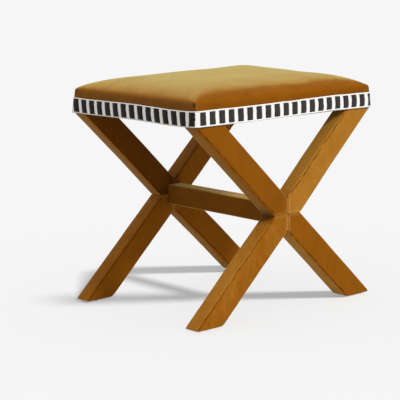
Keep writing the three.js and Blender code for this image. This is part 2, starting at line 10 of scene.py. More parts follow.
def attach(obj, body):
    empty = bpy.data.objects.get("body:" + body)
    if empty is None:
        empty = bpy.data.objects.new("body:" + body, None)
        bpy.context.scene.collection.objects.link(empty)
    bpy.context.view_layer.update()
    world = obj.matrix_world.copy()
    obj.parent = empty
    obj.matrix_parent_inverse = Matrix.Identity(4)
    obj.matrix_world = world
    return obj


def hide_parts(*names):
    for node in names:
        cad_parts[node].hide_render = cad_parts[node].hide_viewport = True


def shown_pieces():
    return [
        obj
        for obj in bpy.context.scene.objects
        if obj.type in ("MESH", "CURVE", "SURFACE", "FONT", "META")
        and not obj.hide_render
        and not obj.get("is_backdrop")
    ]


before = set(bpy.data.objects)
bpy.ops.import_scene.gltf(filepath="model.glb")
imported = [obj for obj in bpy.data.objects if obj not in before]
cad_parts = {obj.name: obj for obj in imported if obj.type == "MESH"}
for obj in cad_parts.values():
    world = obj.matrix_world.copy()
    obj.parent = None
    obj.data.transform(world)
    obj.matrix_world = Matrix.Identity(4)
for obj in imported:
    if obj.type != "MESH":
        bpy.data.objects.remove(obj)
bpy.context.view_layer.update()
mm = 0.001

# Seat and legs as the part has them, in millimetres
seat = {
    "width": 516,
    "depth": 396,
    "underside": 420.3,
    "hem": 421.9,
    "wallHeight": 46,
    "topDrop": 0.8,
    "sideDraw": 1,
    "drawFrom": 30,
    "shoulderRun": 96,
    "shoulderRise": 30,
    "cornerFill": 4,
    "crownRise": 4,
    "cornerRadius": 5,
    "turnUnder": 25,
}
legs = {
    "width": 54,
    "thickness": 36.5,
    "topZ": 420,
    "sleeveTopZ": 421.8,
    "footZ": 3.3,
    "topSpread": 218.57,
    "footSpread": 225.07,
    "footCorner": 13,
}
seatHalfX, seatHalfY = seat["width"] / 2, seat["depth"] / 2
armHalfU, armHalfW = legs["width"] / 2, legs["thickness"] / 2
legSlope = (legs["topZ"] - legs["footZ"]) / (legs["topSpread"] + legs["footSpread"])
legAngle = math.atan(legSlope)
legSin, legCos, legTan = math.sin(legAngle), math.cos(legAngle), math.tan(legAngle)
crossingZ = legs["footZ"] + legSlope * legs["footSpread"]
legMiddleY = -seatHalfY + armHalfW
legInnerY = legMiddleY + armHalfW


# Mesh building

# The skin of a block of lattice points with the given coordinates. openSides names sides left open, such
# as "a0" for the side at the first a value.
def latticeShell(a, b, c, openSides=()):
    counts = (len(a), len(b), len(c))
    index = {}
    points = []

    def at(key):
        if key not in index:
            index[key] = len(points)
            points.append((a[key[0]], b[key[1]], c[key[2]]))
        return index[key]

    faces = []
    for axis, axisName in enumerate("abc"):
        first, second = [other for other in range(3) if other != axis]
        for end, place in enumerate((0, counts[axis] - 1)):
            if f"{axisName}{end}" in openSides:
                continue
            for i, j in product(range(counts[first] - 1), range(counts[second] - 1)):
                corners = []
                for di, dj in ((0, 0), (1, 0), (1, 1), (0, 1)):
                    key = [0, 0, 0]
                    key[axis] = place
                    key[first] = i + di
                    key[second] = j + dj
                    corners.append(at(tuple(key)))
                flip = (end == 0) != (axis == 1)
                faces.append(corners[::-1] if flip else corners)
    return np.array(points, float), faces


def setMark(mesh, name, values):
    attribute = mesh.attributes.new(name, "FLOAT", "POINT")
    attribute.data.foreach_set("value", np.asarray(values, np.float32))


def meshPiece(name, points, faces, materials, faceMaterials=None, marks=None, smooth=True):
    mesh = bpy.data.meshes.new(name)
    mesh.from_pydata([tuple(p) for p in np.asarray(points) * mm], [], faces)
    for material in materials:
        mesh.materials.append(material)
    if faceMaterials is not None:
        mesh.polygons.foreach_set("material_index", faceMaterials)
    mesh.polygons.foreach_set("use_smooth", [smooth] * len(mesh.polygons))
    for markName, values in (marks or {}).items():
        setMark(mesh, markName, values)
    mesh.update()
    piece = bpy.data.objects.new(name, mesh)
    bpy.context.scene.collection.objects.link(piece)
    return piece


# Lattice coordinates from one edge to the other, with the given spacings kept at both edges
def spaced(half, nearEdge, inner):
    inside = half - nearEdge[-1]
    steps = max(2, 2 * round(inside / inner))
    left = [-half + d for d in nearEdge[:-1]]
    middle = list(np.linspace(-inside, inside, steps + 1))
    return left + middle + [-value for value in left[::-1]]


# Rounds a corner: p and q are distances from the corner along its two edges
def roundedCorner(p, q, reach):
    share = (np.clip(1 - p / reach, 0, 1) * np.clip(1 - q / reach, 0, 1)) ** 2
    return p + reach / 4 * share, q + reach / 4 * share


def smoothStep(value, low, high):
    share = np.clip((value - low) / (high - low), 0, 1)
    return share * share * (3 - 2 * share)


# 1 at a place, fading to nothing on both sides of it
def bell(value, place, reach):
    return np.exp(-((value - place) / reach) ** 2)


# Smooth random value from -1 to 1, with features about one unit wide
def noiseAt(*place):
    return noise.noise(Vector(place))


# The same at points in millimetres, over features of the given size. Each seed looks elsewhere in the noise.
def wander(points, size, seed):
    shift = Vector((seed * 7.31, seed * 3.17, seed * 5.73))
    return np.array([noise.noise(Vector(p) / size + shift) for p in points])


# The same along a line, at places in millimetres
def wanderAlong(places, size, line):
    return np.array([noiseAt(place / size, *line) for place in places])


# Materials

class Nodes:
    # The node tree of a material or a world, with short calls for the nodes that are used here
    def __init__(self, owner):
        owner.use_nodes = True
        self.owner = owner
        self.tree = owner.node_tree
        self.shader = self.tree.nodes.get("Principled BSDF")

    def add(self, kind, **settings):
        node = self.tree.nodes.new(kind)
        for key, value in settings.items():
            setattr(node, key, value)
        return node

    def link(self, source, target):
        self.tree.links.new(source, target)

    # gives a socket a number, a colour or what another node puts out
    def feed(self, socket, value):
        if isinstance(value, (int, float)):
            socket.default_value = value
        elif isinstance(value, tuple):
            socket.default_value = (*value, 1)
        else:
            self.link(value, socket)

    def coordinates(self, scale=(1, 1, 1)):
        mapping = self.add("ShaderNodeMapping")
        mapping.inputs["Scale"].default_value = scale
        self.link(self.add("ShaderNodeTexCoord").outputs["Object"], mapping.inputs["Vector"])
        return mapping.outputs["Vector"]

    def noise(self, scale, detail=3, roughness=0.55, distortion=0, vector=None):
        node = self.add("ShaderNodeTexNoise")
        node.inputs["Scale"].default_value = scale
        node.inputs["Detail"].default_value = detail
        node.inputs["Roughness"].default_value = roughness
        node.inputs["Distortion"].default_value = distortion
        self.link(vector or self.coordinates(), node.inputs["Vector"])
        return node.outputs["Fac"]

    def wave(self, direction, scale, distortion, profile="SIN"):
        node = self.add("ShaderNodeTexWave", bands_direction=direction, wave_profile=profile)
        node.inputs["Scale"].default_value = scale
        node.inputs["Distortion"].default_value = distortion
        self.link(self.coordinates(), node.inputs["Vector"])
        return node

    def remap(self, value, low, high, newLow=0.0, newHigh=1.0):
        node = self.add("ShaderNodeMapRange")
        for socket, number in zip(("From Min", "From Max", "To Min", "To Max"), (low, high, newLow, newHigh)):
            node.inputs[socket].default_value = number
        self.link(value, node.inputs["Value"])
        return node.outputs["Result"]

    def math(self, operation, first, *others):
        for other in others:
            node = self.add("ShaderNodeMath", operation=operation)
            self.feed(node.inputs[0], first)
            self.feed(node.inputs[1], other)
            first = node.outputs[0]
        return first

    def mix(self, share, first, second):
        node = self.add("ShaderNodeMix", data_type="RGBA")
        for socket, value in ((node.inputs[0], share), (node.inputs[6], first), (node.inputs[7], second)):
            self.feed(socket, value)
        return node.outputs[2]

    def mark(self, name):
        return self.add("ShaderNodeAttribute", attribute_name=name).outputs["Fac"]

    def bump(self, height, strength, distance, before=None):
        node = self.add("ShaderNodeBump")
        node.inputs["Strength"].default_value = strength
        node.inputs["Distance"].default_value = distance
        self.link(height, node.inputs["Height"])
        if before is not None:
            self.link(before, node.inputs["Normal"])
        return node.outputs["Normal"]

    # puts out the first shader where the share is 0 and the second where it is 1
    def mixShaders(self, share, first, second, output):
        mixer = self.add("ShaderNodeMixShader")
        for socket, source in zip(mixer.inputs, (share, first.outputs[0], second.outputs[0])):
            self.link(source, socket)
        self.link(mixer.outputs[0], self.tree.nodes[output].inputs[0])

    def finish(self, color, roughness, normal=None, **constants):
        self.feed(self.shader.inputs["Base Color"], color)
        self.feed(self.shader.inputs["Roughness"], roughness)
        if normal is not None:
            self.link(normal, self.shader.inputs["Normal"])
        for socket, value in constants.items():
            self.feed(self.shader.inputs[socket.replace("_", " ")], value)
        return self.owner


def newNodes(name):
    return Nodes(bpy.data.materials.new(name))


# Colours as written on screen, 0 to 255, turned into the light values that a shader takes
def tone(red, green, blue):
    def light(value):
        share = value / 255
        return share / 12.92 if share <= 0.04045 else ((share + 0.055) / 1.055) ** 2.4
    return light(red), light(green), light(blue)


# Velvet. The pile leans one way along each length, so lengths cut along and across the roll differ in tone.
velvet = {
    "deep": tone(84, 44, 3),
    "middle": tone(139, 80, 6),
    "pale": tone(170, 116, 40),
    "seatPale": tone(168, 130, 58),
    # painted sheen
    "haze": tone(160, 150, 100),
    # painted shade for creases, grooves and notches
    "crease": tone(70, 31, 4),
    # pale rims: partly wear, partly painted highlight
    "rim": tone(190, 140, 70),
    "sheenTint": (1.0, 0.86, 0.3),
    "seatTint": (0.97, 0.88, 0.3),
    "stretcherTint": (1.0, 0.68, 0.22),
    "pileSize": 1100,
    "tuftSize": 341,
    "brushSize": 48,
    "patchSize": 9,
    "patchTone": 0.1,
    "brushTone": 0.12,
    "tuftTone": 0.09,
    "glossDrop": 0.4,
}


def velvetMaterial(
    name, lightness, sheen, sheenRoughness, brushAlong, mottle=1, pale="pale", tint="sheenTint"
):
    n = newNodes(name)
    patches = n.noise(velvet["patchSize"], 2, 0.5, 0.3)
    brushed = n.noise(velvet["brushSize"], 4, 0.6, 0.6, n.coordinates(scale=brushAlong))
    pile = n.noise(velvet["pileSize"], 2, 0.7)
    tuft = n.noise(velvet["tuftSize"], 3, 0.6)
    patchTone, brushTone = velvet["patchTone"] * mottle, velvet["brushTone"] * mottle
    patchLevel = n.remap(patches, 0.25, 0.75, -patchTone, patchTone)
    brushLevel = n.remap(brushed, 0.25, 0.75, -brushTone, brushTone)
    tuftLevel = n.remap(tuft, 0.3, 0.7, -velvet["tuftTone"], velvet["tuftTone"])
    # level takes painted light: lighter or darker by how light falls, shade under the seat and in the notch
    level = n.math("ADD", patchLevel, brushLevel, tuftLevel, lightness, n.mark("nap"))
    lower = n.mix(n.remap(level, -0.5, 0.5), velvet["deep"], velvet["middle"])
    color = n.mix(n.remap(level, 0.5, 1.0), lower, velvet[pale])
    # painted sheen
    color = n.mix(n.mark("haze"), color, velvet["haze"])
    # pale rims, partly wear and partly painted highlight, then painted shade in creases, grooves and notches
    paleWearAndHighlight = n.math("MULTIPLY", n.remap(n.mark("fold"), 0, 1), n.remap(tuft, 0.3, 0.6, 0.6, 1))
    color = n.mix(paleWearAndHighlight, color, velvet["rim"])
    color = n.mix(n.remap(n.mark("fold"), 0, -1), color, velvet["crease"])
    soft = n.bump(brushed, 0.25, 0.0012)
    normal = n.bump(n.math("ADD", pile, tuft), 0.45, 0.0006, soft)
    glossy = n.math("MULTIPLY", n.mark("gloss"), velvet["glossDrop"])
    rough = n.math("SUBTRACT", n.remap(brushed, 0.3, 0.7, 0.78, 0.95), glossy)
    return n.finish(
        color, rough, normal,
        Sheen_Weight=sheen, Sheen_Roughness=sheenRoughness, Sheen_Tint=velvet[tint], Specular_IOR_Level=0.035,
    )


def tapeMaterial(name, color, shade, ribs):
    n = newNodes(name)
    weave = n.wave("Z", ribs, 1.6)
    weave.inputs["Detail"].default_value = 2
    weave.inputs["Detail Scale"].default_value = 2.2
    fibres = n.noise(1500, 3, 0.6)
    uneven = n.noise(60, 3, 0.6)
    level = n.math("ADD", n.math("MULTIPLY", weave.outputs["Fac"], 0.45), n.math("MULTIPLY", fibres, 0.55))
    # the front is painted lighter and the left side darker, by how light falls on them
    mixed = n.mix(n.remap(n.math("ADD", level, n.mark("nap")), 0, 1), shade, color)
    mixed = n.mix(n.remap(uneven, 0.35, 0.75, 0, 0.2), mixed, shade)
    # painted shade along the band's lower edge
    lowEdgeShade = tone(70, 64, 60)
    mixed = n.mix(n.math("MULTIPLY", n.mark("shade"), 0.6), mixed, lowEdgeShade)
    return n.finish(
        mixed, n.remap(fibres, 0.3, 0.7, 0.8, 0.95), n.bump(level, 0.6, 0.0004),
        Sheen_Weight=0.08, Sheen_Roughness=0.5, Specular_IOR_Level=0.12,
    )


def woodMaterial(name, pale, dark, ringSize, along=(1, 9, 9)):
    n = newNodes(name)
    grain = n.noise(ringSize, 5, 0.62, 0.9, n.coordinates(scale=along))
    pores = n.noise(ringSize * 14, 3, 0.6, 0, n.coordinates(scale=along))
    color = n.mix(n.remap(grain, 0.35, 0.68), dark, pale)
    color = n.mix(n.remap(pores, 0.5, 0.75, 0, 0.3), color, dark)
    normal = n.bump(n.math("ADD", grain, pores), 0.3, 0.0004)
    return n.finish(color, n.remap(pores, 0.3, 0.7, 0.5, 0.75), normal, Specular_IOR_Level=0.35)


def plyMaterial(name):
    n = newNodes(name)
    layers = n.wave("Z", 105, 0.25, "TRI")
    grain = n.noise(26, 5, 0.6, 1.2, n.coordinates(scale=(1, 7, 2)))
    color = n.mix(n.remap(grain, 0.35, 0.7), tone(182, 138, 86), tone(214, 174, 120))
    color = n.mix(n.math("MULTIPLY", layers.outputs["Fac"], 0.4), color, tone(146, 102, 62))
    return n.finish(color, n.remap(grain, 0.3, 0.7, 0.55, 0.75), n.bump(grain, 0.25, 0.0005))


def metalMaterial(name, color, shade, roughness):
    n = newNodes(name)
    brushed = n.noise(420, 4, 0.65, 0, n.coordinates(scale=(1, 1, 0.15)))
    stains = n.noise(90, 3, 0.6)
    mixed = n.mix(n.remap(stains, 0.3, 0.75, 0, 0.7), color, shade)
    rough = n.remap(brushed, 0.3, 0.7, roughness - 0.08, roughness + 0.1)
    return n.finish(mixed, rough, n.bump(brushed, 0.2, 0.0002), Metallic=1.0)


def nylonMaterial(name):
    n = newNodes(name)
    fine = n.noise(1800, 3, 0.6)
    scuffs = n.noise(150, 4, 0.7, 1.5)
    color = n.mix(n.remap(scuffs, 0.45, 0.75), tone(54, 42, 30), tone(92, 76, 60))
    rough = n.remap(scuffs, 0.3, 0.7, 0.38, 0.62)
    return n.finish(color, rough, n.bump(fine, 0.25, 0.0002), Specular_IOR_Level=0.4)


def fibreMaterial(name, pale, shade, size):
    n = newNodes(name)
    strands = n.noise(size, 6, 0.72, 1.4)
    clumps = n.noise(size / 7, 3, 0.6)
    color = n.mix(n.remap(strands, 0.3, 0.7), shade, pale)
    color = n.mix(n.remap(clumps, 0.4, 0.8, 0, 0.35), color, shade)
    rough = n.remap(strands, 0.3, 0.7, 0.85, 1)
    return n.finish(color, rough, n.bump(strands, 0.5, 0.0012), Specular_IOR_Level=0.15)


def foamMaterial(name):
    n = newNodes(name)
    cells = n.add("ShaderNodeTexVoronoi", feature="SMOOTH_F1")
    cells.inputs["Scale"].default_value = 900
    n.link(n.coordinates(), cells.inputs["Vector"])
    mottled = n.noise(40, 3, 0.6)
    color = n.mix(n.remap(cells.outputs["Distance"], 0.1, 0.7), tone(206, 190, 138), tone(236, 224, 182))
    color = n.mix(n.remap(mottled, 0.4, 0.8, 0, 0.25), color, tone(214, 190, 130))
    return n.finish(color, 0.95, n.bump(cells.outputs["Distance"], 0.5, 0.0006), Specular_IOR_Level=0.15)


def cambricMaterial(name):
    n = newNodes(name)
    weave = n.math("MULTIPLY", *[n.wave(direction, 190, 0.8).outputs["Fac"] for direction in ("X", "Y")])
    lint = n.noise(240, 4, 0.7)
    color = n.mix(n.remap(weave, 0, 0.8), tone(20, 19, 20), tone(48, 46, 47))
    color = n.mix(n.remap(lint, 0.55, 0.8, 0, 0.35), color, tone(78, 75, 74))
    rough = n.remap(lint, 0.3, 0.7, 0.8, 0.95)
    return n.finish(color, rough, n.bump(weave, 0.5, 0.0003), Specular_IOR_Level=0.2)


finishes = {
    "seatVelvet": velvetMaterial(
        "seatVelvet", lightness=0.42, sheen=1.0, sheenRoughness=0.26, brushAlong=(0.55, 1.4, 1),
        mottle=1.4, pale="seatPale", tint="seatTint",
    ),
    "risingVelvet": velvetMaterial(
        "risingVelvet", lightness=0.62, sheen=0.55, sheenRoughness=0.34, brushAlong=(1.3, 1, 0.7)
    ),
    "fallingVelvet": velvetMaterial(
        "fallingVelvet", lightness=0.36, sheen=0.4, sheenRoughness=0.34, brushAlong=(1.3, 1, 0.7)
    ),
    "stretcherVelvet": velvetMaterial(
        "stretcherVelvet", lightness=0.4, sheen=1.0, sheenRoughness=0.36, brushAlong=(1, 0.5, 1),
        pale="seatPale", tint="stretcherTint",
    ),
    "whiteTape": tapeMaterial("whiteTape", tone(239, 237, 235), tone(225, 220, 210), 180),
    "charcoalTape": tapeMaterial("charcoalTape", tone(55, 51, 52), tone(23, 20, 20), 150),
    "pine": woodMaterial("pine", tone(222, 190, 138), tone(186, 142, 86), 30),
    "beech": woodMaterial("beech", tone(222, 190, 150), tone(198, 158, 114), 60, (9, 1, 9)),
    "plywood": plyMaterial("plywood"),
    "steel": metalMaterial("steel", tone(190, 192, 194), tone(150, 150, 148), 0.34),
    "nylon": nylonMaterial("nylon"),
    "wadding": fibreMaterial("wadding", tone(238, 235, 228), tone(212, 208, 198), 420),
    "foam": foamMaterial("foam"),
    "cambric": cambricMaterial("cambric"),
}
print("materials made")


# Seat cover. A pair of numbers is where something starts and where it is full.

seatCover = {
    "inset": 0.2,
    "spacing": 6.5,
    "wallRows": [0, 1.5, 4, 10, 18, 26, 32, 36, 39, 42, 44.4],
    "turnBend": 2,
    "edgeReach": 6.0,
    "stuffingGrowth": 3,
    "frames": 20,
    "cap": 1.5,
    "looseLevel": (24, 42),
    "wrinkleSize": 70,
    "wrinkleHeight": 0.7,
    "wrinkleZ": (462, 480),
    "pleatTop": 470,
    "pleatFade": (-8, 4),
    "pleatBend": 0.12,
    "pleatPlace": 4.6,
    "pleatDepth": 2.6,
    "pleatWidth": 1.7,
    "pleatRidge": 0.8,
    "pleatInset": 3,
    "pleatReach": 11,
    # painted highlight on the pleat's ridge, painted shade in its groove
    "ridgeHighlight": 0.22,
    "grooveShade": 2.2,
    "dimpleZ": 467,
    "dimpleReach": 2.9,
    # painted light: lighter top, darker front and left side, sheen on the left, wall darker towards the
    # bottom
    "frontTurn": (0.9, 0.99),
    "leftTurn": (0.37, 0.95),
    "leftFrom": (0.45, 0.75),
    "topPaintedLight": 0.5,
    "frontNap": -0.08,
    "leftNap": -0.38,
    "lowDarkening": -0.15,
    "lowZ": (455, 475),
    "leftPaintedSheen": 0.06,
}
# Layers of the filling: piece, solid, finish, depth under the velvet's face and rows of its wall
seatFilling = {
    "spacing": 16,
    "layers": (
        ("seatWaddingLayer", "seat_wadding", "wadding", 2.2, [1, 12, 24, 36, 46]),
        ("seatFoamBlock", "seat_foam", "foam", 6.4, [36, 40, 46]),
    ),
}
# How the velvet takes the pressure, by the names of Blender's cloth settings
clothFeel = {
    "quality": 6,
    "mass": 0.35,
    "tension_stiffness": 25,
    "compression_stiffness": 25,
    "shear_stiffness": 12,
    "bending_stiffness": 0.6,
    "use_pressure": True,
    "uniform_pressure_force": 0.2,
    "vertex_group_mass": "pinned",
}
# Places where the stuffing stands higher or lower: x, y, height and how far it reaches
stuffing = [(215, 165, 3.2, 75), (258, -198, -3.6, 45), (-120, 190, -1.6, 80), (190, -60, -1.2, 60)]
shoulderTurns = [0, 9, 14, 19, 24, 30, 37, 45, 54, 64, 75, 90]


# Height of the cushion's top: round shoulders, a crown and uneven stuffing
def seatTopZ(x, y):
    def shoulder(fromSide):
        left = 1 - fromSide / seat["shoulderRun"]
        return np.sqrt(np.clip(1 - np.maximum(left, 0) ** 2, 1e-6, 1))

    power = seat["cornerFill"]
    sides = shoulder(seatHalfX - abs(x)) ** -power + shoulder(seatHalfY - abs(y)) ** -power
    shoulders = (sides - 1) ** (-1 / power)
    crown = (1 - (x / seatHalfX) ** 2) * (1 - (y / seatHalfY) ** 2)
    uneven = sum(
        height * np.exp(-((x - placeX) ** 2 + (y - placeY) ** 2) / reach ** 2)
        for placeX, placeY, height, reach in stuffing
    )
    base = seat["underside"] + seat["wallHeight"] - seat["topDrop"]
    even = base + seat["shoulderRise"] * shoulders + seat["crownRise"] * crown
    return even + uneven * np.minimum(shoulders * seatCover["stuffingGrowth"], 1)


# One layer of the cushion at a depth under the velvet's face: rows of its wall run from the bottom up to the
# shoulder. Only the cover's layer is fine and turned under at the bottom.
def cushionPoints(depth, wallRows, bottomZ, fine=False):
    turns = shoulderTurns if fine else shoulderTurns[::2] + shoulderTurns[-1:]
    fromSide = [seat["shoulderRun"] * (1 - math.cos(math.radians(turn))) for turn in turns]
    spacing = seatCover["spacing"] if fine else seatFilling["spacing"]
    across, along = spaced(seatHalfX, fromSide, spacing), spaced(seatHalfY, fromSide, spacing)
    turned = [-seat["turnUnder"], -seat["turnUnder"] / 2, -seatCover["turnBend"]] if fine else []
    points, faces = latticeShell(across, along, turned + wallRows, ("c0",))
    x, y, level = points.T
    top = level == wallRows[-1]
    z = np.where(top, seatTopZ(x, y), bottomZ + np.maximum(level, 0))
    p, q = roundedCorner(seatHalfX - abs(x), seatHalfY - abs(y), seatCover["edgeReach"])
    draw = seat["sideDraw"] * smoothStep(level, seat["drawFrom"], wallRows[-1])
    inset = depth + np.maximum(-level, 0) + draw
    placedX = np.sign(x) * (seatHalfX - p) * ((seatHalfX - inset) / seatHalfX)
    placedY = np.sign(y) * (seatHalfY - q) * ((seatHalfY - inset) / seatHalfY)
    placed = np.stack([placedX, placedY, z], 1)
    placed[top, 2] -= depth
    return placed, faces, top, level


# Where the velvet comes to rest under a light pressure from inside, with its movement capped
def pressCloth(piece, pinned):
    rest = np.array([v.co for v in piece.data.vertices])
    group = piece.vertex_groups.new(name="pinned")
    for i, weight in enumerate(pinned):
        group.add([i], float(weight), "REPLACE")
    cloth = piece.modifiers.new("cloth", "CLOTH")
    for key, value in clothFeel.items():
        setattr(cloth.settings, key, value)
    cloth.settings.effector_weights.gravity = 0
    cloth.point_cache.frame_start = 1
    cloth.point_cache.frame_end = seatCover["frames"]
    scene = bpy.context.scene
    for step in range(1, seatCover["frames"] + 1):
        scene.frame_set(step)
    graph = bpy.context.evaluated_depsgraph_get()
    pressed = np.array([v.co for v in piece.evaluated_get(graph).data.vertices])
    piece.modifiers.remove(cloth)
    piece.vertex_groups.remove(group)
    scene.frame_set(1)
    moved = pressed - rest
    length = np.linalg.norm(moved, axis=1)
    limit = seatCover["cap"] * mm
    share = limit * np.tanh(length / limit) / np.maximum(length, 1e-9)
    return (rest + moved * share[:, None]) / mm


# The pleat at each corner: one side of the cover is folded over the other and drawn down behind the tape.
# Gives its ridge and its groove at points of the cover.
def cornerPleat(x, y, z):
    beyondX, beyondY = abs(x) - seatHalfX, abs(y) - seatHalfY
    inset, width, top = seatCover["pleatInset"], seatCover["pleatWidth"], seatCover["pleatTop"]
    fromCorner = ((beyondX + inset) ** 2 + (beyondY + inset) ** 2) / seatCover["pleatReach"] ** 2
    near = np.exp(-fromCorner ** 2)
    diagonal = (beyondX - beyondY) / math.sqrt(2)
    fade = 1 - smoothStep(z - top, *seatCover["pleatFade"])
    dimple = bell(z, seatCover["dimpleZ"], seatCover["dimpleReach"])
    ridge = bell(diagonal + seatCover["pleatBend"] * (top - z), 0, width) * near * fade
    groove = bell(diagonal, seatCover["pleatPlace"], width) * near * dimple
    return ridge, groove


# Painted light on the cover: its top painted lighter, its front a little darker, its left side darker with a
# painted sheen, its wall darker towards the bottom; its top is also made smoother
def markSeatCover(mesh, z, fold):
    normals = np.array([v.normal for v in mesh.vertices])
    leftness = np.clip(-normals[:, 0], 0, 1) / (abs(normals[:, 0]) + abs(normals[:, 1]) + 1e-6)
    endward = smoothStep(leftness, *seatCover["leftFrom"])
    turnStart, turnEnd = (
        front * (1 - endward) + left * endward
        for front, left in zip(seatCover["frontTurn"], seatCover["leftTurn"])
    )
    upward = smoothStep(normals[:, 2], turnStart, turnEnd)
    leftward = endward * (1 - upward)
    nap = seatCover["topPaintedLight"] * upward + seatCover["leftNap"] * leftward
    nap += seatCover["frontNap"] * (1 - upward) * (1 - leftward)
    nap += seatCover["lowDarkening"] * (1 - smoothStep(z, *seatCover["lowZ"]))
    setMark(mesh, "nap", nap)
    setMark(mesh, "haze", seatCover["leftPaintedSheen"] * leftness)
    setMark(mesh, "gloss", upward)
    setMark(mesh, "fold", fold)


def makeSeatCover():
    points, faces, top, level = cushionPoints(seatCover["inset"], seatCover["wallRows"], seat["hem"], True)
    piece = meshPiece("seatCoverVelvet", points, faces, [finishes["seatVelvet"]])
    pinned = np.where(top, 0, 1 - smoothStep(level, *seatCover["looseLevel"]))
    points = pressCloth(piece, pinned)
    soft = wander(points, seatCover["wrinkleSize"], 3) * seatCover["wrinkleHeight"]
    points[:, 2] += np.where(top, soft * smoothStep(points[:, 2], *seatCover["wrinkleZ"]), 0)
    x, y, z = points.T.copy()
    ridge, groove = cornerPleat(x, y, z)
    push = ridge * seatCover["pleatRidge"] - groove * seatCover["pleatDepth"]
    cornerOut = np.stack([np.sign(x), np.sign(y), np.zeros(len(x))], 1) / math.sqrt(2)
    points += cornerOut * push[:, None]
    mesh = piece.data
    mesh.vertices.foreach_set("co", (points * mm).ravel())
    mesh.update()
    # painted highlight on the pleat's ridge and painted shade in its groove
    markSeatCover(mesh, z, ridge * seatCover["ridgeHighlight"] - groove * seatCover["grooveShade"])
    smoothing = piece.modifiers.new("subdivision", "SUBSURF")
    smoothing.levels = 1
    smoothing.render_levels = 1
    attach(piece, "root")
    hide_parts("seat_cover")


def makeSeatFilling():
    for name, node, finish, depth, wallRows in seatFilling["layers"]:
        points, faces = cushionPoints(depth, wallRows, seat["underside"])[:2]
        piece = meshPiece(name, points, faces, [finishes[finish]])
        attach(piece, "root")
        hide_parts(node)


makeSeatCover()
makeSeatFilling()
print("seat cushion made")


# Tape band

tape = {
    "bottom": 421.9,
    "height": 32.9,
    "back": 0.3,
    "face": 1.5,
    "edgeHeight": 2.5,
    "sideEdgeHeight": 1.7,
    "edgeProud": 0.7,
    "edgeRound": 0.6,
    "bodyRows": 11,
    "lean": 1.4,
    "stripeCount": 69,
    "stripeShare": 0.615,
    "sideExtra": 0.022,
    "stripeProud": 0.2,
    "raggedness": 0.9,
    "wobble": 0.5,
    "unevenness": 0.35,
    "sideLean": 4.6,
    "leanY": (-195, -140),
    "frontBulge": 2.7,
    "bulgeX": (-200, 260),
    # painted light: the left side darker, the front lighter
    "sidePaintedLight": -0.35,
    "frontNap": 0.3,
    # painted shade on the band's lowest rows
    "lowShade": [1, 1, 0.6],
    "flares": ((-1, 1, 3.0), (1, -1, 0.8)),  # at the back left and the front right corner
    "flareReach": 16,
    "edgeWave": 0.3,
}
# How far the band is lifted from its level by hand fitting, at places along the front and the left side
frontLift = ((-258, 1.2), (-190, 0.8), (-110, 0.2), (0, 0.5), (60, 1.2), (140, 1.5), (200, 0.2), (258, -0.8))
leftLift = (
    (-198, 0.9), (-160, -0.9), (-110, -1.3), (-60, -0.4), (-20, 0.2), (30, 0), (70, -1), (150, -2.2),
    (198, -2),
)
# Stripes of the front, counted from the front left corner, and of the left side, counted from the back
frontStripes = {"first": 11.4, "pitch": 26.06, "count": 19}
leftStripes = {"firstY": 184.8, "pitch": 26.51, "count": 14, "lastY": -186.8, "backGap": 22.4}

# The seat's outline: straight sides and the arcs of its corners. A place on it is the distance along it from
# where the front's straight side starts, at the left.
cornerRadius = seat["cornerRadius"]
straightX, straightY = seat["width"] - 2 * cornerRadius, seat["depth"] - 2 * cornerRadius
cornerArc = math.pi / 2 * cornerRadius
leftStart = 2 * straightX + straightY + 3 * cornerArc
outlineLength = leftStart + straightY + cornerArc


# A point on the outline and the way out from it
def outlineAt(distance):
    sides = (
        (straightX, (-1, -1), (1, 0)), (straightY, (1, -1), (0, 1)),
        (straightX, (1, 1), (-1, 0)), (straightY, (-1, 1), (0, -1)),
    )
    distance %= outlineLength
    for straight, corner, way in sides:
        out = (way[1], -way[0])
        startX = corner[0] * straightX / 2 + out[0] * cornerRadius
        startY = corner[1] * straightY / 2 + out[1] * cornerRadius
        if distance <= straight:
            return (startX + way[0] * distance, startY + way[1] * distance), out
        distance -= straight
        if distance <= cornerArc:
            turn = distance / cornerRadius
            direction = (
                out[0] * math.cos(turn) + way[0] * math.sin(turn),
                out[1] * math.cos(turn) + way[1] * math.sin(turn),
            )
            centreX = startX + way[0] * straight - out[0] * cornerRadius
            centreY = startY + way[1] * straight - out[1] * cornerRadius
            return (centreX + direction[0] * cornerRadius, centreY + direction[1] * cornerRadius), direction
        distance -= cornerArc
    return (startX, startY), out


# Middles of all stripes. Those of the right side and the back are spread evenly between the fitted ones.
def stripeCentres():
    front = [frontStripes["first"] + frontStripes["pitch"] * i for i in range(frontStripes["count"])]
    leftPlaces = [leftStripes["firstY"] - leftStripes["pitch"] * i for i in range(leftStripes["count"])]
    left = [leftStart + straightY / 2 - y for y in (*leftPlaces, leftStripes["lastY"])]
    between = tape["stripeCount"] - len(front) - len(left)
    middle = list(np.linspace(front[-1], left[0] - leftStripes["backGap"], between + 1)[1:])
    return front + middle + left


# The band's lift at a place on the outline, from the values beside it
def bandLift(x, y):
    table, place = (frontLift, x) if y < -seatHalfY + cornerRadius else (leftLift, y)
    for (start, low), (end, high) in zip(table, table[1:]):
        if place <= end or end == table[-1][0]:
            return low + (high - low) * smoothStep(place, start, end)


# Columns of points round the band: place, which edge of a stripe it is, and whether it stands proud as the
# stripes do. An edge has two columns, since a stripe is a little thicker than the ground.
def tapeColumns():
    centres = stripeCentres()
    half = tape["stripeShare"] * outlineLength / tape["stripeCount"] / 2
    columns = []
    for centre, following in zip(centres, centres[1:] + [centres[0] + outlineLength]):
        start, end = centre - half, centre + half
        gap = following - half - end
        columns += [(start, -1, 0), (start, -1, 1)]
        columns += [(start + 2 * half * share, 0, 1) for share in (0.33, 0.67)]
        columns += [(end, 1, 1), (end, 1, 0)]
        columns += [(end + gap * share, 0, 0) for share in (0.3, 0.7)]
    return columns


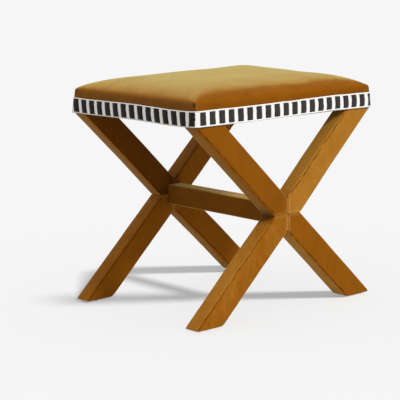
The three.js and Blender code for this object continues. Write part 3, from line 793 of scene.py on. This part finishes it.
# Rows of points up the band, as reach and z, and which of them are its body between the raised edges
def tapeRows():
    bottom, top = tape["bottom"], tape["bottom"] + tape["height"]
    face, edge = tape["face"], tape["edgeHeight"]
    proud, rounded = face + tape["edgeProud"], face + tape["edgeProud"] * tape["edgeRound"]
    edgeRows = [(tape["back"], 0.3), (rounded, 0), (proud, 0.8)]
    edgeRows += [(proud, edge - 0.9), (rounded, edge - 0.1), (face, edge + 0.3)]
    body = [(face, z) for z in np.linspace(bottom + edge + 0.5, top - edge - 0.5, tape["bodyRows"])]
    rows = [(reach, bottom + rise) for reach, rise in edgeRows] + body
    rows += [(reach, top - rise) for reach, rise in edgeRows[::-1]]
    return rows, range(len(edgeRows), len(edgeRows) + len(body))


def cornerFlare(x, y):
    return sum(
        size * bell(math.hypot(x - cornerX * seatHalfX, y - cornerY * seatHalfY), 0, tape["flareReach"])
        for cornerX, cornerY, size in tape["flares"]
    )


def tapePoints(columns, rows, body):
    points, tapePaintedLight = [], []
    bottom, height = tape["bottom"], tape["height"]
    slimmer = (tape["edgeHeight"] - tape["sideEdgeHeight"]) / (height / 2 - tape["edgeHeight"])
    for place, stripeEdge, proud in columns:
        (plainX, plainY), plainOut = outlineAt(place)
        leftness, frontness = max(-plainOut[0], 0), max(-plainOut[1], 0)
        leaning = tape["sideLean"] * leftness * smoothStep(plainY, *tape["leanY"])
        bulging = tape["frontBulge"] * frontness * smoothStep(plainX, *tape["bulgeX"])
        widening = stripeEdge * tape["sideExtra"] * outlineLength / tape["stripeCount"] * leftness
        for r, (reach, z) in enumerate(rows):
            if body[0] - 2 <= r <= body[-1] + 2:
                z += (z - bottom - height / 2) * slimmer * leftness
            up = (z - bottom) / height
            shift = ((1 - up) ** 2 * 1.2 - 0.3) * leaning + widening + bulging * (1 - (2 * up - 1) ** 2)
            shift += tape["wobble"] * noiseAt(place / 9, z / 14, 2)
            if stripeEdge:
                shift += tape["raggedness"] * noiseAt(place * 0.9, z / 1.9, 5)
            (x, y), out = outlineAt(place % outlineLength + shift)
            if reach > tape["back"]:
                reach += (tape["lean"] + cornerFlare(x, y)) * (1 - up)
                reach += tape["stripeProud"] * proud * (r in body)
                reach += tape["unevenness"] * noiseAt(x / 22, y / 22, z / 30)
            wave = tape["edgeWave"] * noiseAt(x / 30, y / 30, 9) * (0.3 + 0.7 * up)
            points.append((x + out[0] * reach, y + out[1] * reach, z + wave + bandLift(x, y)))
            # painted light: darker on the left side, lighter on the front
            tapePaintedLight.append(tape["sidePaintedLight"] * leftness + tape["frontNap"] * frontness)
    return points, tapePaintedLight


def makeTape():
    columns = tapeColumns()
    rows, body = tapeRows()
    points, tapePaintedLight = tapePoints(columns, rows, body)
    rowCount = len(rows)
    faces, finish = [], []
    for c in range(len(columns)):
        following = (c + 1) % len(columns)
        stripe = columns[c][2] and columns[following][2]
        for r in range(rowCount):
            up = (r + 1) % rowCount
            corners = ((c, r), (following, r), (following, up), (c, up))
            faces.append([column * rowCount + row for column, row in corners])
            finish.append(1 if stripe and r in body[:-1] else 0)
    # painted shade on the band's lowest rows
    lowRows = tape["lowShade"] + [0] * (rowCount - len(tape["lowShade"]))
    marks = {"shade": lowRows * len(columns), "nap": tapePaintedLight}
    materials = [finishes["whiteTape"], finishes["charcoalTape"]]
    piece = meshPiece("tapeBand", points, faces, materials, finish, marks)
    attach(piece, "root")
    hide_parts("trim_tape")


makeTape()
print("tape band made")


# Velvet sleeves of the legs, with the wadding under them. An arm is one of the four lengths of a frame's X.

# The first values are the mesh: rows at the mitre, where rimPlace is how far along the arm they lie and
# rimInset how far they turn in, then rows along the arm, rows before its end and columns beside its edges
sleeve = {
    "rimPlace": [0.0, 0.05, 0.2, 0.6, 1.4, 2.8, 4.6],
    "rimInset": [1.6, 0.8, 0.45, 0.25, 0.1, 0.0, 0.0],
    "wayRows": 40,
    "endRows": [10, 7.5, 5.5, 3.8, 2.4, 1.3, 0.5, 0],
    "columns": [0, 0.5, 1.1, 1.7, 2.3, 2.9, 3.5, 4.2, 5.5, 8],
    "sideColumns": [0, 0.7, 1.5, 2.6, 4.5],
    "columnSpacing": 6.5,
    "sideSpacing": 7,
    "depth": 0,
    "edgeReach": 4.0,
    "footReach": 3.2,
    "faceReach": 2.5,
    "swell": 0.55,
    "calmMitre": (4, 40),
    "calmEnd": (0, 30),
    "unevenness": 0.35,
    "unevenSize": 55,
    "fineUnevenness": 0.45,
    "levelMitre": 0.35,
    "rimFade": (1, 6),
    "mitreGap": 0.05,
    "mitreShift": 1.9,
    "mitreRise": 1.3,
    "crossingShift": (1.2, -1.7),
    "crossingReach": 190,
    "ridgePlace": 3.4,
    "ridgeReach": 1.3,
    # painted highlight on the ridge beside the mitre, painted shade on creased rims
    "ridgeHighlight": 0.4,
    "creaseInset": 0.7,
    "creaseShade": 0.45,
    "seamPlace": 2.8,
    "seamWidth": 1.4,
    "seamDepth": 1.1,
    "seamFrom": (0, 4),
    "seamWander": 2.6,
    "wanderSize": 17,
    "pullSize": 11,
    "pullMiddle": 0.75,
    "pullChange": 0.9,
    "pullLimits": (0.25, 1.2),
    "lipPlace": 0.9,
    "lipWidth": 0.7,
    "lipHeight": 0.15,
    # pale edges, lips and mitre rims: partly wear, partly painted highlight
    "edgeWearAndHighlight": 0.08,
    "farEdgeWearAndHighlight": 0.35,
    "rimWearAndHighlight": 0.3,
    # painted shade in the crossing's notch, near the back frame's upper mitres and under the seat
    "notchReach": 16,
    "notchPaintedShade": 0.2,
    "notchShade": 0.8,
    "sideNotch": 1.25,
    "shadedReach": 20,
    "shadedTone": 0.9,
    "seatShade": 22,
    "underSeatPaintedShade": 0.4,
    "sideGloss": 0.8,
}
# The wadding's coarser mesh and how deep it lies under the velvet
armWadding = {
    "rimPlace": [0],
    "rimInset": [0],
    "wayRows": 10,
    "endRows": [8, 4, 0],
    "columns": [0, 2, 6],
    "sideColumns": [0, 2, 5],
    "depth": 2.6,
}
# Tone of each arm's velvet, partly painted light: what is added to the broad faces (the back frame's upper
# left arm painted darker for shade under the seat), what is added to the narrow faces beside them (painted
# lighter for their sheen), and how deep the painted shade in the notch at the crossing and the seams' wander
# are
pileToneAndPaintedLight = {
    "frontUpperLeft": (-0.06, 0.05, 1),
    "frontLowerLeft": (-0.04, 0.12, 1),
    "frontUpperRight": (0.24, 0.4, 1),
    "frontLowerRight": (0.0, 0.45, 1),
    "backUpperLeft": (-0.6, 0.0, 0.2),
    "backLowerLeft": (-0.2, -0.05, 0.2),
    "backUpperRight": (-0.05, -0.1, 0.2),
    "backLowerRight": (0.0, 0.15, 0.2),
}


# Paleness of a long edge, partly wear and partly a painted highlight, from the distances p and q to it
def paleEdge(p, q):
    return bell(p + q, 0.6, 1.1)


# Points of an arm from places along it (s), across it (u) and through it (w)
def armPoints(side, level, s, u, w):
    x = side * (s * legCos - u * legSin)
    z = crossingZ + level * (s * legSin + u * legCos)
    return np.stack([x, legMiddleY + w, z], 1)


# The lattice of an arm with its long edges rounded. An upright and a level mitre meet at the crossing's
# middle, and the arm starts at whichever comes later.
def armLattice(side, level, grid):
    across = spaced(armHalfU, grid["columns"], sleeve["columnSpacing"])
    through = spaced(armHalfW, grid["sideColumns"], sleeve["sideSpacing"])
    rows = [("rim", i) for i in range(len(grid["rimPlace"]))]
    rows += [("way", share) for share in np.linspace(0, 1, grid["wayRows"] + 1)[1:-1]]
    rows += [("end", distance) for distance in grid["endRows"]]
    openSides = ("a0",) if level < 0 else ("a0", "a1")
    points, faces = latticeShell(range(len(rows)), across, through, openSides)
    row = points[:, 0].astype(int)
    kind = np.array([tag[0] for tag in rows])[row]
    value = np.array([float(tag[1]) for tag in rows])[row]
    u, w = points[:, 1], points[:, 2]

    uprightS = u * legTan + side * sleeve["mitreShift"] / legCos
    levelS = -u / legTan + level * sleeve["mitreRise"] / legSin
    startS = np.maximum(uprightS, levelS) + sleeve["mitreGap"]
    endRise = legs["sleeveTopZ"] - crossingZ if level > 0 else crossingZ - legs["footZ"]
    endS = (endRise - u * legCos) / legSin
    onRim, upright, fromMiddle = kind == "rim", uprightS > levelS, abs(uprightS - levelS)
    rimIndex = np.where(onRim, value, 0).astype(int)
    rimInset = np.array(grid["rimInset"])[rimIndex]
    near, far = startS + grid["rimPlace"][-1], endS - grid["endRows"][0]
    s = np.where(kind == "way", near + (far - near) * value, endS - value)
    s = np.where(onRim, startS + np.array(grid["rimPlace"])[rimIndex], s)
    inset = np.where(onRim, rimInset * np.where(upright, 1, sleeve["levelMitre"]), 0)
    inset = inset * smoothStep(fromMiddle, *sleeve["rimFade"])

    p, q = armHalfU - abs(u), armHalfW - abs(w)
    signU, signW = np.sign(u), np.sign(w)
    roundU, roundW = roundedCorner(p, q, sleeve["edgeReach"])
    return SimpleNamespace(
        side=side, level=level, faces=faces, s=s, u=u, w=w, p=p, q=q, signU=signU, signW=signW,
        newU=signU * (armHalfU - roundU), newW=signW * (armHalfW - roundW), startS=startS, endS=endS,
        endRise=endRise, onRim=onRim, upright=upright, fromMiddle=fromMiddle, rimInset=rimInset, inset=inset,
    )


# Rounds a foot's toe and heel, then the rim between its faces and its sole
def roundFootEdges(arm):
    for corner in (-1, 1):
        cornerS = (arm.endRise - corner * armHalfU * legCos) / legSin
        alongFoot = -corner * (arm.newU - corner * armHalfU) / legSin
        alongLeg = -(arm.s - cornerS) + alongFoot * corner * legCos
        roundLeg, roundFoot = roundedCorner(alongLeg, alongFoot, legs["footCorner"])
        active = (alongLeg < legs["footCorner"]) & (alongFoot < legs["footCorner"])
        arm.s = np.where(active, cornerS - roundLeg + roundFoot * corner * legCos, arm.s)
        arm.newU = np.where(active, corner * armHalfU - corner * roundFoot * legSin, arm.newU)
    fromSole = np.maximum(arm.endRise - (arm.s * legSin + arm.newU * legCos), 0)
    fromFace = armHalfW - abs(arm.newW)
    roundSole, roundFace = roundedCorner(fromSole, fromFace, sleeve["footReach"])
    arm.s = arm.s - (roundSole - fromSole) / legSin
    arm.newW = arm.signW * (armHalfW - roundFace)


# Lets the velvet swell and lie unevenly between its ends
def swellSleeve(arm):
    onFace, onEdge = arm.q < 1e-6, arm.p < 1e-6
    calm = smoothStep(arm.s - arm.startS, *sleeve["calmMitre"])
    calm = calm * smoothStep(arm.endS - arm.s, *sleeve["calmEnd"])
    swell = sleeve["swell"] * calm
    arm.newW += arm.signW * onFace * swell * (1 - (arm.u / armHalfU) ** 2)
    arm.newU += arm.signU * onEdge * swell * (1 - (arm.w / armHalfW) ** 2)
    place = armPoints(arm.side, arm.level, arm.s, arm.newU, arm.newW)
    size, height, seed = sleeve["unevenSize"], sleeve["unevenness"], arm.side + 3 * arm.level
    uneven = wander(place, size, 11 + seed) * height
    uneven += wander(place, size / 4, 21 + seed) * height * sleeve["fineUnevenness"]
    arm.newW += arm.signW * onFace * uneven * calm
    arm.newU += arm.signU * onEdge * uneven * calm


# Presses the seam in, at one long edge of one face, and gives its groove and the lip beside it
def sewSleeve(arm, seam, waver):
    drift = wanderAlong(arm.s, sleeve["wanderSize"], (arm.side * 3.1, arm.level * 5.7))
    pull = wanderAlong(arm.s, sleeve["pullSize"], (arm.side * 7.3, arm.level * 2.9))
    pull = np.clip(sleeve["pullMiddle"] + sleeve["pullChange"] * pull, *sleeve["pullLimits"])
    onSeam = (arm.q < 1e-6) * (arm.signU == seam[0]) * (arm.signW == seam[1])
    onSeam = onSeam * smoothStep(arm.s - arm.startS, *sleeve["seamFrom"])
    fromEdge = arm.p + drift * sleeve["seamWander"] * waver
    groove = bell(fromEdge, sleeve["seamPlace"], sleeve["seamWidth"]) * onSeam * pull
    lip = bell(fromEdge, sleeve["lipPlace"], sleeve["lipWidth"]) * onSeam
    arm.newW += arm.signW * (lip * sleeve["lipHeight"] - groove * sleeve["seamDepth"])
    return groove, lip


# How the velvet of an arm looks: pale edges and mitres, partly wear and partly painted highlight; painted
# shade in the notch at the crossing, the seam's groove, creases and under the seat; the tone of its pile with
# painted light
def markSleeve(arm, seam, lie, groove, lip):
    faceToneAndShade, sidePaintedLight, notchShadeDepth = lie
    fromMitre = arm.s - arm.startS
    broad = (arm.q < sleeve["faceReach"]) & (arm.p > arm.q)
    edgeWearAndHighlight = paleEdge(arm.p, arm.q)
    farEdge = edgeWearAndHighlight * (arm.signU != seam[0]) * sleeve["farEdgeWearAndHighlight"]
    rimWearAndHighlight = np.where(arm.onRim, bell(arm.rimInset, 0.3, 0.5), 0)
    # pale edges and rims are partly wear and partly painted highlight; the seam's groove is painted shade
    fold = sleeve["edgeWearAndHighlight"] * (edgeWearAndHighlight + lip) + farEdge + sleeve["rimWearAndHighlight"] * rimWearAndHighlight - groove
    fold = np.clip(fold, -1, 1)
    # painted shade in the notch at the crossing and near the back frame's upper mitres
    sideNotch = np.where(arm.signU < 0, sleeve["sideNotch"], 1)
    notch = bell(fromMitre, 0, sleeve["notchReach"]) * sideNotch * notchShadeDepth
    shaded = bell(fromMitre, 0, sleeve["shadedReach"]) * (1 - notchShadeDepth) * (arm.level > 0)
    fold -= np.where(broad, shaded * sleeve["shadedTone"], notch * (arm.signU < 0) * sleeve["notchShade"])
    # painted shade under the seat
    underSeat = bell(arm.endS - arm.s, 0, sleeve["seatShade"]) * (arm.level > 0)
    dark = sleeve["notchPaintedShade"] * notch + sleeve["underSeatPaintedShade"] * underSeat
    # painted highlight on the ridge beside the mitre, painted shade on creased rims
    ridge = bell(fromMitre, sleeve["ridgePlace"], sleeve["ridgeReach"]) * broad * arm.upright
    creased = arm.onRim & (arm.rimInset > sleeve["creaseInset"]) & arm.upright
    creased &= (arm.fromMiddle > 2) & (arm.p > sleeve["faceReach"])
    return {
        "fold": np.where(creased, -sleeve["creaseShade"], fold + ridge * sleeve["ridgeHighlight"]),
        "nap": np.where(broad, faceToneAndShade, sidePaintedLight - dark),
        "gloss": np.where(broad, 0.0, sleeve["sideGloss"]),
    }


def armMesh(side, level, grid, seam=None, lie=None):
    arm = armLattice(side, level, grid)
    closed, depth = level < 0, grid["depth"]
    if closed:
        roundFootEdges(arm)
    marks = None
    if seam:
        swellSleeve(arm)
        groove, lip = sewSleeve(arm, seam, lie[2])
        marks = markSleeve(arm, seam, lie, groove, lip)
    newU = arm.newU * (1 - (arm.inset + depth) / armHalfU)
    newW = arm.newW * (1 - (arm.inset + depth) / armHalfW)
    sag = 1 - smoothStep(arm.s, 0, sleeve["crossingReach"])
    s = np.minimum(arm.s, (arm.endRise - depth - newU * legCos) / legSin) if closed and depth else arm.s
    placed = armPoints(side, level, s, newU, newW)
    placed[:, 0] += sleeve["crossingShift"][0] * sag
    placed[:, 2] += sleeve["crossingShift"][1] * sag
    return placed, arm.faces, marks


def makeSleeves():
    for place, side, level in product(("front", "back"), (-1, 1), (-1, 1)):
        turned = place == "back"  # the back frame is the front one, turned round
        world = -side if turned else side
        words = (place, "Lower" if level < 0 else "Upper", "Left" if world < 0 else "Right")
        node, nice = "_".join(words).lower(), "".join(words)
        seam = (-side, 1) if turned else (side, -1)
        look = "risingVelvet" if world * level > 0 else "fallingVelvet"
        for cadNode, name, slot, finish, shape in (
            (f"{node}_cover", f"{nice}Sleeve", "velvet", look, (sleeve, seam, pileToneAndPaintedLight[nice])),
            (f"{node}_wadding", f"{nice}Wadding", "wadding", "wadding", (armWadding,)),
        ):
            points, faces, marks = armMesh(side, level, *shape)
            if turned:
                points[:, :2] *= -1
            piece = meshPiece(name, points, faces, [finishes[finish]], None, marks)
            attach(piece, "root")
            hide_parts(cadNode)


makeSleeves()
print("leg sleeves made")


# Stretcher sleeve

stretcher = {
    "width": 41.5,
    "height": 44,
    "gap": 0.4,
    "edgeReach": 4.0,
    "columns": [0, 0.5, 1.1, 1.7, 2.3, 2.9, 3.7, 5],
    "columnSpacing": 7,
    "endRows": [0, 1.5, 4],
    "rowSpacing": 6,
    "waddingColumns": [0, 2, 5],
    "waddingRowSpacing": 30,
    "waddingDepth": 2.6,
    "faceReach": 2.5,
    "swell": 0.5,
    "calmEnd": (0, 40),
    "seamPlace": 2.2,
    "seamWidth": 0.5,
    "seamDepth": 0.9,
    "seamWander": 0.6,
    "lipPlace": 0.8,
    "lipWidth": 0.7,
    "lipHeight": 0.6,
    # pale edges and lip: partly wear, partly painted highlight; painted shade in the seam's groove
    "edgeWearAndHighlight": 0.35,
    "lipHighlight": 0.8,
    "grooveShade": 0.9,
    # painted light: shade at the top's back end, a lighter top and darker sides
    "backShade": 0.75,
    "topPaintedLight": 1.1,
    "topFade": 1.5,
    "fadeY": (-70, 130),
    "sidePaintedLight": -0.48,
}


def stretcherMesh(depth, fine):
    halfX, halfZ = stretcher["width"] / 2, stretcher["height"] / 2
    halfY = -legInnerY - stretcher["gap"]
    edges = stretcher["columns" if fine else "waddingColumns"]
    across, upward = (spaced(half, edges, stretcher["columnSpacing"]) for half in (halfX, halfZ))
    along = spaced(halfY, stretcher["endRows"], stretcher["rowSpacing" if fine else "waddingRowSpacing"])
    points, faces = latticeShell(across, along, upward, ("b0", "b1"))
    x, y, z = points.T
    p, q = halfX - abs(x), halfZ - abs(z)
    roundX, roundZ = roundedCorner(p, q, stretcher["edgeReach"])
    newX, newZ = np.sign(x) * (halfX - roundX), np.sign(z) * (halfZ - roundZ)
    marks = None
    if fine:
        onSide = p < 1e-6
        calm = smoothStep(halfY - abs(y), *stretcher["calmEnd"])
        uneven = wander(points, 50, 31) * 0.35 + wander(points, 13, 37) * 0.15
        newX += np.sign(x) * onSide * (stretcher["swell"] * (1 - (z / halfZ) ** 2) + uneven) * calm
        newZ += np.sign(z) * (q < 1e-6) * (stretcher["swell"] * (1 - (x / halfX) ** 2) + uneven) * calm
        fromEdge = q + wanderAlong(y, 28, (1.7, 4.4)) * stretcher["seamWander"]
        onSeam = onSide * (x < 0) * (z < 0)
        groove = bell(fromEdge, stretcher["seamPlace"], stretcher["seamWidth"]) * onSeam
        lip = bell(fromEdge, stretcher["lipPlace"], stretcher["lipWidth"]) * onSeam
        newX -= lip * stretcher["lipHeight"] - groove * stretcher["seamDepth"]
        # painted light: top lighter, its back end painted shade, sides darker
        onTop = (q < stretcher["faceReach"]) & (p > q) & (z > 0)
        backward = smoothStep(y, *stretcher["fadeY"])
        # pale edges and lip: partly wear, partly painted highlight; painted shade in the groove and at the
        # back end
        fold = stretcher["edgeWearAndHighlight"] * paleEdge(p, q) + stretcher["lipHighlight"] * lip
        fold -= stretcher["grooveShade"] * groove + stretcher["backShade"] * onTop * backward
        topPaintedLight = stretcher["topPaintedLight"] - stretcher["topFade"] * backward
        marks = {
            "fold": np.clip(fold, -1, 1),
            "nap": np.where(onTop, topPaintedLight, stretcher["sidePaintedLight"]),
            "gloss": np.where(onTop, 1.0, 0.0),
        }
    shrinkX, shrinkZ = 1 - depth / halfX, 1 - depth / halfZ
    return np.stack([newX * shrinkX, y, crossingZ + newZ * shrinkZ], 1), faces, marks


for node, name, slot, finish, depth in (
    ("stretcher_cover", "stretcherSleeve", "velvet", "stretcherVelvet", 0),
    ("stretcher_wadding", "stretcherWaddingLayer", "wadding", "wadding", stretcher["waddingDepth"]),
):
    points, faces, marks = stretcherMesh(depth, fine=depth == 0)
    piece = meshPiece(name, points, faces, [finishes[finish]], None, marks)
    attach(piece, "root")
    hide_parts(node)
print("stretcher sleeve made")


# Dust cover and its staples

dustCover = {
    "z": 421.2,
    "margin": 9,
    "legRoom": 2,
    "sag": 2.2,
    "sagFrom": (12, 110),
    "puckerHeight": 0.5,
    "puckerReach": (4, 45),
    "hem": 9,
    "hemThickness": 0.3,
    "stapleSpacing": 36,
    "stapleStart": 14,
    "stapleEnd": 8,
    "stapleInset": 4.5,
    "stapleTilt": 0.25,
    "stapleSink": 0.35,
    "stapleLength": 9,
    "stapleWidth": 1.1,
    "stapleHeight": 0.6,
    "stapleBevel": 0.4,
    "stapleNarrow": 0.55,
}
dustHalfX, dustHalfY = seatHalfX - dustCover["margin"], seatHalfY - dustCover["margin"]
dustCutX = legs["topSpread"] - armHalfU / legSin - dustCover["legRoom"]
dustCutY = -legInnerY - dustCover["legRoom"]


# Lines of the cloth's mesh: so many between the cut-outs for the legs, and so many beside them
def dustLines(cut, half, inner, outer):
    beside = np.linspace(cut, half, outer)
    return sorted({*np.linspace(-cut, cut, inner), *beside, *-beside})


# The cloth lies flat on the hem, puckers between the staples and sags a little inside
def dustClothZ(x, y):
    inside = np.minimum(dustHalfX - abs(x), dustHalfY - abs(y))
    free = smoothStep(inside, *dustCover["sagFrom"])
    hem = 1 - smoothStep(inside, dustCover["hem"] - 1, dustCover["hem"] + 1)
    puckerReach = 1 - smoothStep(inside, *dustCover["puckerReach"])
    pucker = np.cos(2 * math.pi * (x + y) / dustCover["stapleSpacing"]) * puckerReach
    z = dustCover["z"] - free * dustCover["sag"] - dustCover["hemThickness"] * hem
    z -= (pucker + 1) * 0.5 * dustCover["puckerHeight"] * smoothStep(inside, 2, 14)
    return z - (wander(np.stack([x, y, z], 1), 60, 41) + 1) * 0.5 * free


def makeDustCloth():
    across, along = dustLines(dustCutX, dustHalfX, 37, 8), dustLines(dustCutY, dustHalfY, 33, 5)
    rowLength = len(along)
    cells = []
    area = 0
    for i, j in product(range(len(across) - 1), range(rowLength - 1)):
        midX, midY = (across[i] + across[i + 1]) / 2, (along[j] + along[j + 1]) / 2
        if abs(midX) > dustCutX and abs(midY) > dustCutY:
            continue
        corner = i * rowLength + j
        cells.append((corner, corner + 1, corner + rowLength + 1, corner + rowLength))
        area += (across[i + 1] - across[i]) * (along[j + 1] - along[j])
    used = sorted({v for cell in cells for v in cell})
    index = {v: i for i, v in enumerate(used)}
    faces = [tuple(index[v] for v in cell) for cell in cells]
    x, y = np.array([(across[v // rowLength], along[v % rowLength]) for v in used], float).T
    points = np.stack([x, y, dustClothZ(x, y)], 1)
    return meshPiece("dustCoverCloth", points, faces, [finishes["cambric"]]), area


# Where the staples sit along the hem: x, y and whether they are turned across
def staplePlaces():
    start, end, spacing = dustCover["stapleStart"], dustCover["stapleEnd"], dustCover["stapleSpacing"]
    places = []
    for sign in (-1, 1):
        for x in np.arange(-dustCutX + start, dustCutX - end, spacing):
            places.append((x, sign * (dustHalfY - dustCover["stapleInset"]), False))
        for y in np.arange(-dustCutY + start, dustCutY - end, spacing):
            places.append((sign * (dustHalfX - dustCover["stapleInset"]), y, True))
    return places


# Staples: bevelled wire crowns, each of four rings with four points
def makeStaples():
    points, faces = [], []
    halfLength, halfWidth = dustCover["stapleLength"] / 2, dustCover["stapleWidth"] / 2
    bevel, narrow, low = dustCover["stapleBevel"], dustCover["stapleNarrow"], -dustCover["stapleHeight"] * 0.8
    rings = [(-halfLength, narrow, bevel), (-halfLength + bevel, 1, 0)]
    rings += [(halfLength - bevel, 1, 0), (halfLength, narrow, bevel)]
    section = ((-halfWidth, 0), (-halfWidth * narrow, low), (halfWidth * narrow, low), (halfWidth, 0))
    for number, (x, y, turned) in enumerate(staplePlaces()):
        angle = dustCover["stapleTilt"] * noiseAt(number * 1.7, 3.3, 0) + (math.pi / 2 if turned else 0)
        cosine, sine = math.cos(angle), math.sin(angle)
        base = len(points)
        for (along, scale, lift), (across, rise) in product(rings, section):
            across *= scale
            z = dustCover["z"] - dustCover["stapleSink"] + (rise + lift) * scale
            points.append((x + along * cosine - across * sine, y + along * sine + across * cosine, z))
        for ring, i in product(range(3), range(4)):
            j = (i + 1) % 4
            here, there = base + ring * 4, base + (ring + 1) * 4
            faces.append((here + i, there + i, there + j, here + j))
        faces.append((base, base + 1, base + 2, base + 3))
        faces.append((base + 15, base + 14, base + 13, base + 12))
    return meshPiece("dustCoverStaples", points, faces, [finishes["steel"]], smooth=False)


def makeDustCover():
    piece, area = makeDustCloth()
    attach(piece, "root")
    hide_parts("dust_cover")
    staples = makeStaples()
    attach(staples, "root")


makeDustCover()
print("dust cover made")


# Finishes of the part's own solids, by how their names start. The others are pine.

solidFinishes = {
    "glide": "nylon",
    "seat_screw": "steel",
    "seat_washer": "steel",
    "stretcher_bolt": "steel",
    "stretcher_washer": "steel",
    "barrel_nut": "steel",
    "deck_screw": "steel",
    "dowel": "beech",
    "seat_deck": "plywood",
}
for name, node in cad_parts.items():
    if node.hide_render:
        continue
    kind = next((finish for start, finish in solidFinishes.items() if name.startswith(start)), "pine")
    node.data.materials.clear()
    node.data.materials.append(finishes[kind])
print("solids finished")


# Floor, light and camera

# The key lights the object, and its twin the floor. On the floor only the core of the front frame's falling
# leg, the stretcher, the back frame's lower sleeves and the small parts cast a shadow. castsNothing is how
# the names of all other pieces start.
studio = {
    "background": tone(246, 246, 246),
    "floor": (0.379, 0.379, 0.379),
    "bounce": (0.302, 0.302, 0.302),
    "floorGlow": 0.36,
    "floorSize": 60,
    "skyStrength": 0.74,
    "keyAzimuth": 8.2,
    "keyElevation": 45.5,
    "keyShare": 0.47,
    "floorKeyShare": 1.7,
    "keySoftness": 9,
    "castsNothing": (
        "seat", "tape", "dust", "deck", "front_upper", "front_lower", "frontUpper", "frontLower",
        "front_frame_rising", "back_frame", "back_upper", "backUpper",
    ),
}


# A lamp like the sun, from a direction, that gives a level floor the named share of full light
def sunLamp(name, share):
    azimuth, elevation = math.radians(studio["keyAzimuth"]), math.radians(studio["keyElevation"])
    towards = Vector((
        math.sin(azimuth) * math.cos(elevation), -math.cos(azimuth) * math.cos(elevation), math.sin(elevation)
    ))
    light = bpy.data.lights.new(name, "SUN")
    light.energy = share * math.pi / math.sin(elevation)
    light.angle = math.radians(studio["keySoftness"])
    lamp = bpy.data.objects.new(name, light)
    lamp.rotation_mode = "QUATERNION"
    lamp.rotation_quaternion = towards.to_track_quat("Z", "Y")
    bpy.context.scene.collection.objects.link(lamp)
    return lamp


# The floor, with a glow that only the camera sees
def makeFloor():
    size = studio["floorSize"]
    bpy.ops.mesh.primitive_grid_add(x_subdivisions=8, y_subdivisions=8, size=size, location=(0, 0, 0))
    floor = bpy.context.object
    floor.name = "studioFloor"
    n = newNodes("studioFloor")
    seen = n.add("ShaderNodeLightPath").outputs["Is Camera Ray"]
    n.finish(n.mix(seen, studio["bounce"], studio["floor"]), 0.9, Specular_IOR_Level=0.0)
    glow = n.add("ShaderNodeEmission")
    n.feed(glow.inputs["Color"], studio["background"])
    n.mixShaders(n.math("MULTIPLY", seen, studio["floorGlow"]), n.shader, glow, "Material Output")
    floor.data.materials.append(n.owner)
    floor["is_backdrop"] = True
    return floor


# Light from all round, and a plain backdrop for the camera and for what metal and glass show
def makeBackdrop():
    world = bpy.data.worlds.new("studio")
    bpy.context.scene.world = world
    n = Nodes(world)
    sky = n.tree.nodes["Background"]
    n.feed(sky.inputs["Color"], (1, 1, 1))
    n.feed(sky.inputs["Strength"], studio["skyStrength"])
    backdrop = n.add("ShaderNodeBackground")
    n.feed(backdrop.inputs["Color"], studio["background"])
    n.feed(backdrop.inputs["Strength"], 1)
    path = n.add("ShaderNodeLightPath")
    rays = [path.outputs[ray] for ray in ("Is Camera Ray", "Is Glossy Ray", "Is Transmission Ray")]
    n.mixShaders(n.math("MAXIMUM", *rays), sky, backdrop, "World Output")


def makeLamps(floor):
    key, floorKey = sunLamp("keyLight", studio["keyShare"]), sunLamp("floorKeyLight", studio["floorKeyShare"])
    lit = bpy.data.collections.new("litByKey")
    litFloor = bpy.data.collections.new("litByFloorKey")
    casting = bpy.data.collections.new("castingOnFloor")
    litFloor.objects.link(floor)
    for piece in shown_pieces():
        lit.objects.link(piece)
        if not piece.name.startswith(studio["castsNothing"]):
            casting.objects.link(piece)
    key.light_linking.receiver_collection = lit
    floorKey.light_linking.receiver_collection = litFloor
    floorKey.light_linking.blocker_collection = casting


# The camera, as fitted to the photograph's frame
view = {
    "location": (-2.36181, -2.52368, 0.84285),
    "yaw": 42.25,
    "pitch": -10.22,
    "roll": -0.38,
    "lens": 143.206,
}


def makeCamera():
    data = bpy.data.cameras.new("camera")
    data.lens = view["lens"]
    data.sensor_width = 36
    data.clip_start, data.clip_end = 0.05, 200
    camera = bpy.data.objects.new("camera", data)
    bpy.context.scene.collection.objects.link(camera)
    yaw, pitch, roll = (math.radians(view[key]) for key in ("yaw", "pitch", "roll"))
    forward = Vector((math.sin(yaw) * math.cos(pitch), math.cos(yaw) * math.cos(pitch), math.sin(pitch)))
    levelRight = Vector((math.cos(yaw), -math.sin(yaw), 0))
    levelUp = levelRight.cross(forward)
    right = levelRight * math.cos(roll) + levelUp * math.sin(roll)
    up = levelUp * math.cos(roll) - levelRight * math.sin(roll)
    turn = Matrix((right, up, -forward)).transposed().to_4x4()
    camera.matrix_world = Matrix.Translation(view["location"]) @ turn
    bpy.context.scene.camera = camera


makeLamps(makeFloor())
makeBackdrop()
makeCamera()
bpy.context.scene.view_settings.view_transform = "Standard"
print("studio made")
